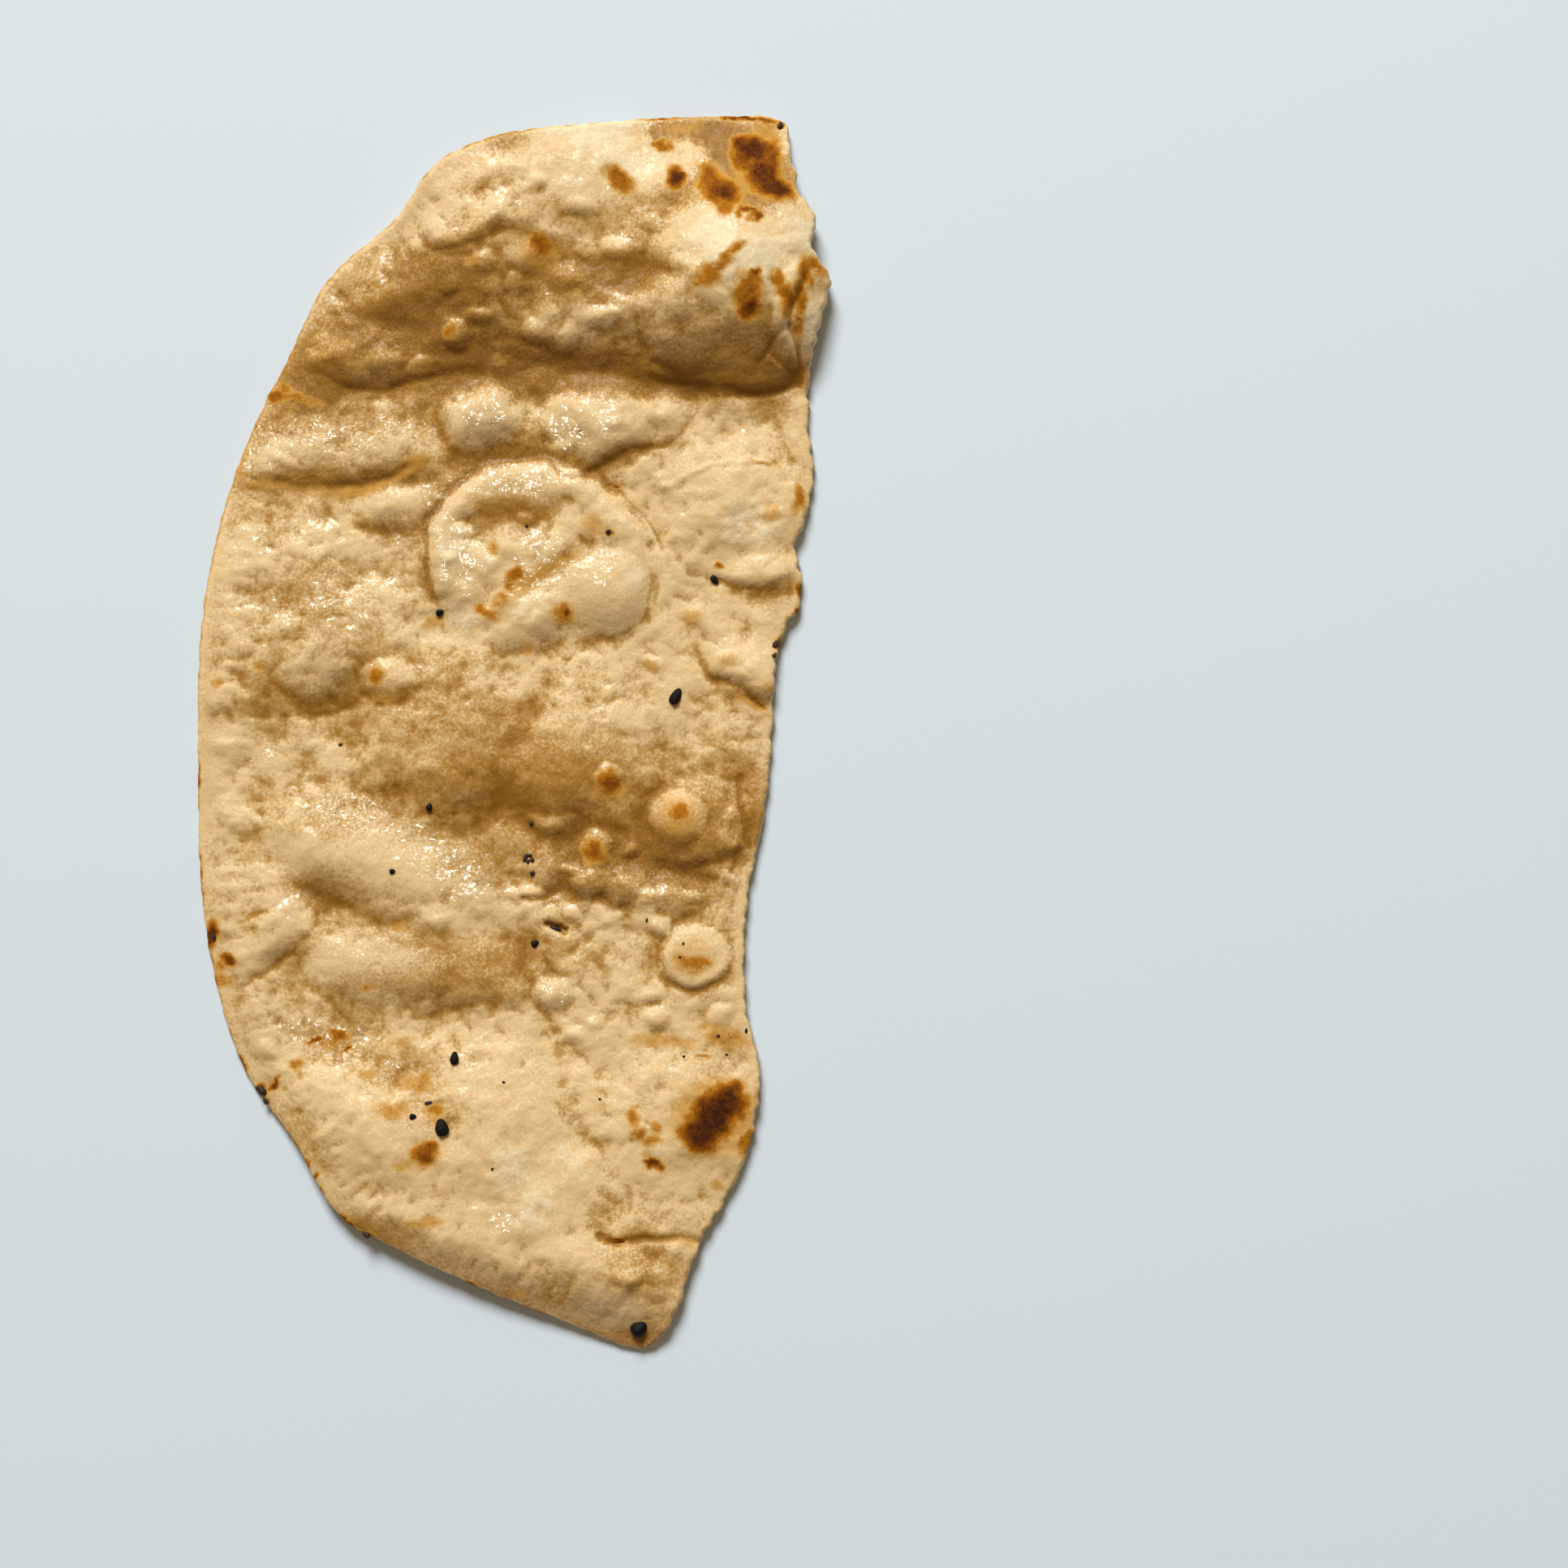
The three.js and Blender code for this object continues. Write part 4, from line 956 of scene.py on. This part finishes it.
class Paint:
    """A Principled material built up from sockets. Lengths are in millimetres."""

    def __init__(self, name):
        self.material = bpy.data.materials.new(name)
        self.material.use_nodes = True
        self.tree = self.material.node_tree
        self.surface = self.tree.nodes["Principled BSDF"]
        place = self.node("ShaderNodeTexCoord").outputs["Object"]
        scaled = self.node("ShaderNodeVectorMath", {0: place, "Scale": 1 / MM}, operation="SCALE")
        self.place = scaled.outputs[0]

    def give(self, socket, value):
        """Links a value that comes from another node to a socket, or sets a plain one on it."""
        if isinstance(value, bpy.types.NodeSocket):
            self.tree.links.new(value, socket)
        else:
            socket.default_value = value

    def node(self, kind, inputs=(), **settings):
        made = self.tree.nodes.new(kind)
        for name, value in settings.items():
            setattr(made, name, value)
        for key, value in dict(inputs).items():
            self.give(made.inputs[key], value)
        return made

    def named(self, name):
        """A value painted on the mesh's points."""
        return self.node("ShaderNodeAttribute", attribute_name=name).outputs["Fac"]

    def noise(self, size, detail=2, rough=0.5, shift=0.0):
        """Noise, 0 to 1, whose bumps are about `size` millimetres apart. Each shift gives other bumps."""
        moved = self.node("ShaderNodeVectorMath", {0: self.place, 1: (shift,) * 3}, operation="ADD")
        settings = {"Vector": moved.outputs[0], "Scale": 1 / size, "Detail": detail, "Roughness": rough}
        return self.node("ShaderNodeTexNoise", settings).outputs["Fac"]

    def ridges(self, length, wander):
        """Short ridges across Y that wander, each rising from 0 to 1 along +Y and then falling at once."""
        along = self.node("ShaderNodeSeparateXYZ", {0: self.place}).outputs["Y"]
        wandering = self.product(self.noise(3 * length, 2, 0.6, 380.0), 2 * wander)
        turns = self.sum(self.product(along, 1 / length), wandering)
        return self.node("ShaderNodeMath", {0: turns}, operation="FRACT").outputs[0]

    def sum(self, a, b, clamp=False):
        return self.node("ShaderNodeMath", {0: a, 1: b}, operation="ADD", use_clamp=clamp).outputs[0]

    def product(self, a, b):
        return self.node("ShaderNodeMath", {0: a, 1: b}, operation="MULTIPLY").outputs[0]

    def band(self, value, low, high, to_low=0.0, to_high=1.0):
        """A smooth step from to_low to to_high as value goes from low to high."""
        inputs = {"Value": value, "From Min": low, "From Max": high, "To Min": to_low, "To Max": to_high}
        return self.node("ShaderNodeMapRange", inputs, interpolation_type="SMOOTHSTEP").outputs["Result"]

    def mix(self, share, a, b):
        """Colour a, turning into colour b as share goes from 0 to 1."""
        inputs = {"Factor": share, MIX_COLOR_A: a, MIX_COLOR_B: b}
        return self.node("ShaderNodeMix", inputs, data_type="RGBA").outputs[MIX_COLOR]

    def bump(self, height, depth, under=None):
        """Tilts the shading as if height, 0 to 1, stood `depth` millimetres high."""
        inputs = {"Height": height, "Distance": depth * MM, "Strength": 1.0}
        if under is not None:
            inputs["Normal"] = under
        return self.node("ShaderNodeBump", inputs).outputs["Normal"]

    def finish(self, **inputs):
        """Gives the shader its inputs, with _ for a space in their names, and returns the material."""
        for name, value in inputs.items():
            self.give(self.surface.inputs[name.replace("_", " ")], value)
        return self.material


CREAM = rgb(227, 199, 149)
FLOUR = rgb(232, 216, 178)
WHEAT = rgb(198, 161, 99)
PALE_SPECK_AND_HIGHLIGHT = rgb(240, 229, 203)
GOLDEN = rgb(176, 133, 60)
GHEE_GOLD_AND_SHADE = rgb(152, 108, 34)
GOLD = rgb(202, 156, 70)
AMBER = rgb(178, 116, 20)
TOASTED = rgb(128, 72, 4)
BROWN = rgb(92, 44, 3)
CHARRED = rgb(63, 30, 7)
SHADE_BROWN = rgb(132, 86, 26)
CRUMB = rgb(213, 199, 160)


def baked_skin():
    skin = Paint("baked_dough")
    toast, ghee = skin.named("toast"), skin.named("ghee")
    crumb, under = skin.named("crumb"), skin.named("under")
    hollow, deep, tone = skin.named("hollow"), skin.named("deep"), skin.named("tone")
    grain = skin.noise(0.7, 3, 0.65)
    fine = skin.noise(0.4, 2, 0.5, 40.0)
    blotch = skin.noise(4.5, 3, 0.55, 90.0)

    # Painted shade: hollows, creases and slopes that face away from the window turn golden and darker, partly
    # where ghee gathers; crests and slopes that face the window stay pale, a painted highlight.
    facing = skin.named("facing")
    golden_and_shade = skin.sum(skin.band(hollow, -0.25, 0.45, -0.35, 0.6), skin.band(deep, -0.6, 1.4, -0.15, 0.6))
    golden_and_shade = skin.sum(golden_and_shade, skin.band(skin.named("seam_and_shade"), 0.0, 0.1, -0.05, 0.5))
    golden_and_shade = skin.sum(golden_and_shade, skin.band(facing, -0.4, 0.3, 0.65, -0.3))
    golden_and_shade = skin.sum(golden_and_shade, skin.band(blotch, 0.35, 0.7, -0.08, 0.22))
    golden_and_shade = skin.sum(golden_and_shade, skin.band(grain, 0.35, 0.65, -0.3, 0.3))
    golden_and_shade = skin.sum(skin.sum(golden_and_shade, skin.product(ghee, 0.12)), tone)
    color = skin.mix(skin.band(golden_and_shade, -1.9, -1.1), FLOUR, CREAM)
    color = skin.mix(skin.band(golden_and_shade, -0.4, 0.5), color, WHEAT)
    color = skin.mix(skin.band(golden_and_shade, 0.35, 1.2), color, GOLDEN)
    color = skin.mix(skin.band(golden_and_shade, 1.1, 1.9), color, GHEE_GOLD_AND_SHADE)
    # Painted shade: slopes that face away from the window turn a darker brown.
    color = skin.mix(skin.band(facing, -0.5, 0.05, 0.4, 0), color, SHADE_BROWN)
    # Pale specks: flour on floury skin, and painted highlights on crests, on slopes that face the window and
    # on ghee.
    dots = skin.band(skin.noise(0.5, 2, 0.6, 250.0), 0.48, 0.62)
    crest = skin.band(golden_and_shade, 0.3, 1.3, 1, 0.2)
    specks_and_highlights = skin.product(skin.band(facing, -0.2, 0.22, 0.04, 0.5), crest)
    specks_and_highlights = skin.sum(skin.sum(specks_and_highlights, skin.product(ghee, 0.2)), skin.band(tone, -2.2, -1.0, 0.4, 0))
    color = skin.mix(skin.product(dots, specks_and_highlights), color, PALE_SPECK_AND_HIGHLIGHT)
    color = skin.mix(skin.product(under, 0.3), color, WHEAT)

    uneven = skin.band(skin.noise(1.2, 3, 0.6, 210.0), 0.25, 0.75, -0.08, 0.08)
    uneven = skin.sum(uneven, skin.band(fine, 0.3, 0.7, -0.05, 0.05))
    baked = skin.sum(toast, skin.product(uneven, skin.band(toast, 0.05, 0.4)))
    color = skin.mix(skin.band(baked, 0.06, 0.34, 0, 0.8), color, GOLD)
    color = skin.mix(skin.band(baked, 0.3, 0.54), color, AMBER)
    color = skin.mix(skin.band(baked, 0.52, 0.82), color, TOASTED)
    color = skin.mix(skin.band(baked, 0.8, 0.98), color, BROWN)
    color = skin.mix(skin.band(baked, 0.96, 1.08), color, CHARRED)
    pale = skin.mix(skin.band(grain, 0.3, 0.7), CRUMB, WHEAT)
    color = skin.mix(skin.product(crumb, skin.band(toast, 0.3, 0.6, 0.85, 0)), color, pale)

    # A thin film of oil in patches and thick ghee in places; toasted and floury skin stays dry.
    film = skin.band(skin.noise(6.0, 3, 0.6, 150.0), 0.42, 0.68, 0, 0.4)
    oily = skin.sum(skin.product(ghee, 0.8), film, clamp=True)
    bare = skin.band(toast, 0.25, 0.5, 1, 0)
    moist = skin.band(skin.sum(tone, skin.product(ghee, 2.0)), -2.0, -1.1, 0.1, 1.0)
    wet = skin.product(skin.product(bare, crest), moist)
    coat = skin.product(skin.band(oily, 0.05, 0.85, 0.02, 1.0), wet)
    tilt = skin.bump(skin.noise(2.2, 2, 0.5, 300.0), 0.25)
    tilt = skin.bump(skin.noise(0.7, 2, 0.6, 320.0), 0.1, tilt)

    # Ghee wrinkles in short ridges. Their long side falls towards +Y, facing the window; the other is steep.
    ridges = skin.product(skin.ridges(2.2, 2.2), skin.band(ghee, 0.4, 0.9, 0, -0.9))
    ripple = skin.product(skin.noise(1.5, 2, 0.5, 340.0), skin.band(ghee, 0.3, 0.9, 0.2, 0.5))
    waves = skin.bump(skin.noise(3.0, 2, 0.5, 360.0), 0.7)
    glossy = skin.bump(skin.sum(ridges, ripple), 1.0, waves)
    return skin.finish(
        Base_Color=color, Roughness=skin.band(toast, 0.2, 0.6, 0.5, 0.9), Specular_IOR_Level=0.18,
        Normal=tilt, Coat_Weight=coat, Coat_Roughness=0.15, Coat_Normal=glossy,
        Subsurface_Weight=0.4, Subsurface_Radius=(1.0, 0.7, 0.45), Subsurface_Scale=1.2 * MM,
    )


def pale_floor():
    matte = Paint("pale_floor")
    return matte.finish(Base_Color=rgb(215, 232, 250), Roughness=0.6)


# ---------------------------------------------------------------- the bread

points, faces, top_count, ring_count = bread()
roti = mesh_object("roti", to_frame(points), faces)
mark_skin(roti, points, top_count, ring_count)
roti.data.materials.append(baked_skin())
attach(roti, "root")
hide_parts(NODE)

# ---------------------------------------------------------------- seeds and burnt flecks

# A seed or fleck on the skin: its middle, its length, width and thickness, and its turn in degrees.
Bit = namedtuple("Bit", "x y length width thickness turn", defaults=(0,))

NIGELLA = [
    (30.2, 6.7, 3.3, 1.8, 1.6, 62), (37.4, 28.3, 1.9, 1.2, 1.1, -50), (-13.7, 22.3, 1.5, 1.2, 1.1, 20),
    (-15.5, -13.9, 1.4, 1.1, 1, 70), (-22.2, -25.8, 1.1, 0.9, 0.8, 10), (4, -39.2, 1.5, 1.2, 1, 30),
    (-10.8, -60.4, 2.5, 1.6, 1.5, 84), (-13, -73.1, 3.3, 2.4, 2, 100), (-18.3, -71.1, 1.3, 1, 0.9),
    (23.4, -110.8, 3.2, 2.6, 2, 40),
]
BURNT = [
    (-15.5, -68.6, 1.5, 0.6, 0.5, 15), (2.4, -23, 1, 0.8, 0.5, 60), (3.1, -22.9, 0.8, 0.6, 0.5),
    (3.5, -23.7, 1, 0.7, 0.5, 110), (3.6, -26.2, 1, 0.8, 0.6, 30), (2.1, -23.8, 0.8, 0.6, 0.4),
    (2.8, -24, 0.9, 0.6, 0.4, 45), (24.8, -34.9, 0.8, 0.4, 0.4, 80), (16.1, -68.1, 0.5, 0.4, 0.4),
    (43.3, -55.4, 1, 0.5, 0.4, 85), (31.7, -60.2, 0.6, 0.4, 0.4, 30), (31.6, -39.2, 0.6, 0.4, 0.4, 60),
    (31, -41.7, 0.5, 0.4, 0.4), (38.1, -56.4, 0.7, 0.4, 0.4, 20), (39.6, -59.9, 0.6, 0.4, 0.4),
    (-1.6, -64.8, 0.6, 0.4, 0.4), (-3.6, -80.7, 0.6, 0.4, 0.4, 40), (-32.2, -2.3, 0.8, 0.5, 0.4),
    (3.4, -16.9, 1, 0.8, 0.5), (2.5, 38.3, 0.6, 0.5, 0.4), (17.7, 37.2, 1, 0.8, 0.5, 30),
    (7.8, -36.5, 2.2, 0.9, 0.7, -20), (48.7, 16.4, 1.5, 1, 0.8, 70), (48.6, 14.3, 1.1, 0.8, 0.8, 60),
    (-47, -66.6, 2.2, 1.2, 1, 130), (-46.2, -68.6, 1.4, 0.8, 0.8, 120), (-27.2, -93.2, 1.6, 0.9, 0.8, 150),
    (49.6, 112.8, 1.2, 0.8, 0.8, 60), (-55.9, -38, 1.4, 0.8, 0.7, 100),
]
BIT_RINGS, BIT_SIDES = 10, 14
SUNK = 0.3  # the share of a bit's thickness that lies in the skin
CORNER_DEPTH, BIT_ROUGHNESS = 0.13, 0.05  # how far its corners and grain stand out, as shares of its girth


def angular_body(bit, index):
    """A small body with a blunt and a pointed end and three or four rounded corners round it, as points."""
    shape = np.random.default_rng(500 + index)
    corners = shape.integers(3, 5)
    steps = np.linspace(0, math.pi, BIT_RINGS + 1)[:, None]
    angles = np.linspace(0, 2 * math.pi, BIT_SIDES, endpoint=False)[None, :]
    girth = np.sin(steps) ** 0.8 * (1 + 0.28 * np.cos(steps))
    corner = 1 + CORNER_DEPTH * np.cos(corners * angles + shape.uniform(0, 6))
    corner = corner + shape.uniform(-BIT_ROUGHNESS, BIT_ROUGHNESS, (BIT_RINGS + 1, BIT_SIDES))
    along = -np.cos(steps) * bit.length / 2 * np.ones_like(angles)
    across = girth * corner * np.cos(angles) * bit.width / 2
    up = girth * corner * np.sin(angles) * bit.thickness / 2
    turn = math.radians(bit.turn)
    x = bit.x + along * math.cos(turn) - across * math.sin(turn)
    y = bit.y + along * math.sin(turn) + across * math.cos(turn)
    return np.stack([x, y, up], 2).reshape(-1, 3)


def ring_faces(rings, sides):
    """Triangles between rings of points; the first and the last ring lie on one point each."""
    faces = []
    for ring in range(rings):
        for side in range(sides):
            a, b = ring * sides + side, ring * sides + (side + 1) % sides
            faces += [(a, b, b + sides), (a, b + sides, a + sides)]
    return np.array(faces)


def scattered(name, bits, skin_points):
    """The bits as one mesh, each pressed a little into the skin under it."""
    tree = KDTree(len(skin_points))
    for index, point in enumerate(skin_points):
        tree.insert((point[0], point[1], 0), index)
    tree.balance()
    points, faces = [], []
    pattern = ring_faces(BIT_RINGS, BIT_SIDES)
    for index, values in enumerate(bits):
        bit = Bit(*values)
        body = angular_body(bit, index)
        near = [found[1] for found in tree.find_n((bit.x, bit.y, 0), 8)]
        body[:, 2] += skin_points[near, 2].mean() + (0.5 - SUNK) * bit.thickness
        faces.append(pattern + len(points) * len(body))
        points.append(body)
    return mesh_object(name, to_frame(np.vstack(points)), np.vstack(faces))


def black_seed():
    coat = Paint("nigella_seed")
    speckle = coat.noise(0.35, 2, 0.6)
    color = coat.mix(coat.band(speckle, 0.45, 0.7), rgb(8, 8, 10), rgb(24, 23, 29))
    tilt = coat.bump(speckle, 0.12)
    return coat.finish(Base_Color=color, Roughness=0.65, Specular_IOR_Level=0.2, Normal=tilt)


def charcoal():
    coat = Paint("char")
    crumbly = coat.noise(0.4, 2, 0.6)
    color = coat.mix(coat.band(crumbly, 0.4, 0.7), rgb(26, 14, 8), rgb(58, 34, 20))
    return coat.finish(Base_Color=color, Roughness=0.65, Normal=coat.bump(crumbly, 0.1))


for name, bits, material in (("nigella_seeds", NIGELLA, black_seed()), ("burnt_flecks", BURNT, charcoal())):
    piece = scattered(name, bits, points[:top_count])
    piece.data.materials.append(material)
    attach(piece, "root")
    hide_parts(NODE)

# ---------------------------------------------------------------- floor, light and camera

FLOOR_HALF = 2.0
floor_corners = [(FLOOR_HALF * x, FLOOR_HALF * y, 0) for x, y in ((-1, -1), (1, -1), (1, 1), (-1, 1))]
floor = mesh_object("floor", floor_corners, [(0, 1, 2), (0, 2, 3)])
floor.data.materials.append(pale_floor())

low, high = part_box(NODE)
middle = (low + high) / 2


def area_light(name, place, size, watts, color):
    """A round soft light at a place counted from the bread's middle, and turned to it."""
    data = bpy.data.lights.new(name, "AREA")
    data.shape = "DISK"
    data.size, data.energy, data.color = size, watts, color
    lamp = bpy.data.objects.new(name, data)
    lamp.location = middle + Vector(place)
    lamp.rotation_euler = (-Vector(place)).to_track_quat("-Z", "Y").to_euler()
    bpy.context.scene.collection.objects.link(lamp)


area_light("window", place=(-0.7, 3.7, 3.4), size=2.0, watts=300, color=(1.0, 0.97, 0.9))
world = bpy.data.worlds.new("room")
bpy.context.scene.world = world
world.use_nodes = True
room = world.node_tree.nodes["Background"].inputs
room["Color"].default_value = (1, 0.73, 0.47, 1)
room["Strength"].default_value = 0.22

VIEW_WIDTH = 0.2927
VIEW_DISTANCE = 0.6
VIEW_ASIDE = (0.0504, -0.0096)  # the middle of the view, counted from the bread's middle
camera_data = bpy.data.cameras.new("camera")
camera_data.lens = camera_data.sensor_width * VIEW_DISTANCE / VIEW_WIDTH
camera = bpy.data.objects.new("camera", camera_data)
camera.location = (middle.x + VIEW_ASIDE[0], middle.y + VIEW_ASIDE[1], VIEW_DISTANCE)
bpy.context.scene.collection.objects.link(camera)
bpy.context.scene.camera = camera
bpy.context.scene.view_settings.view_transform = "Standard"
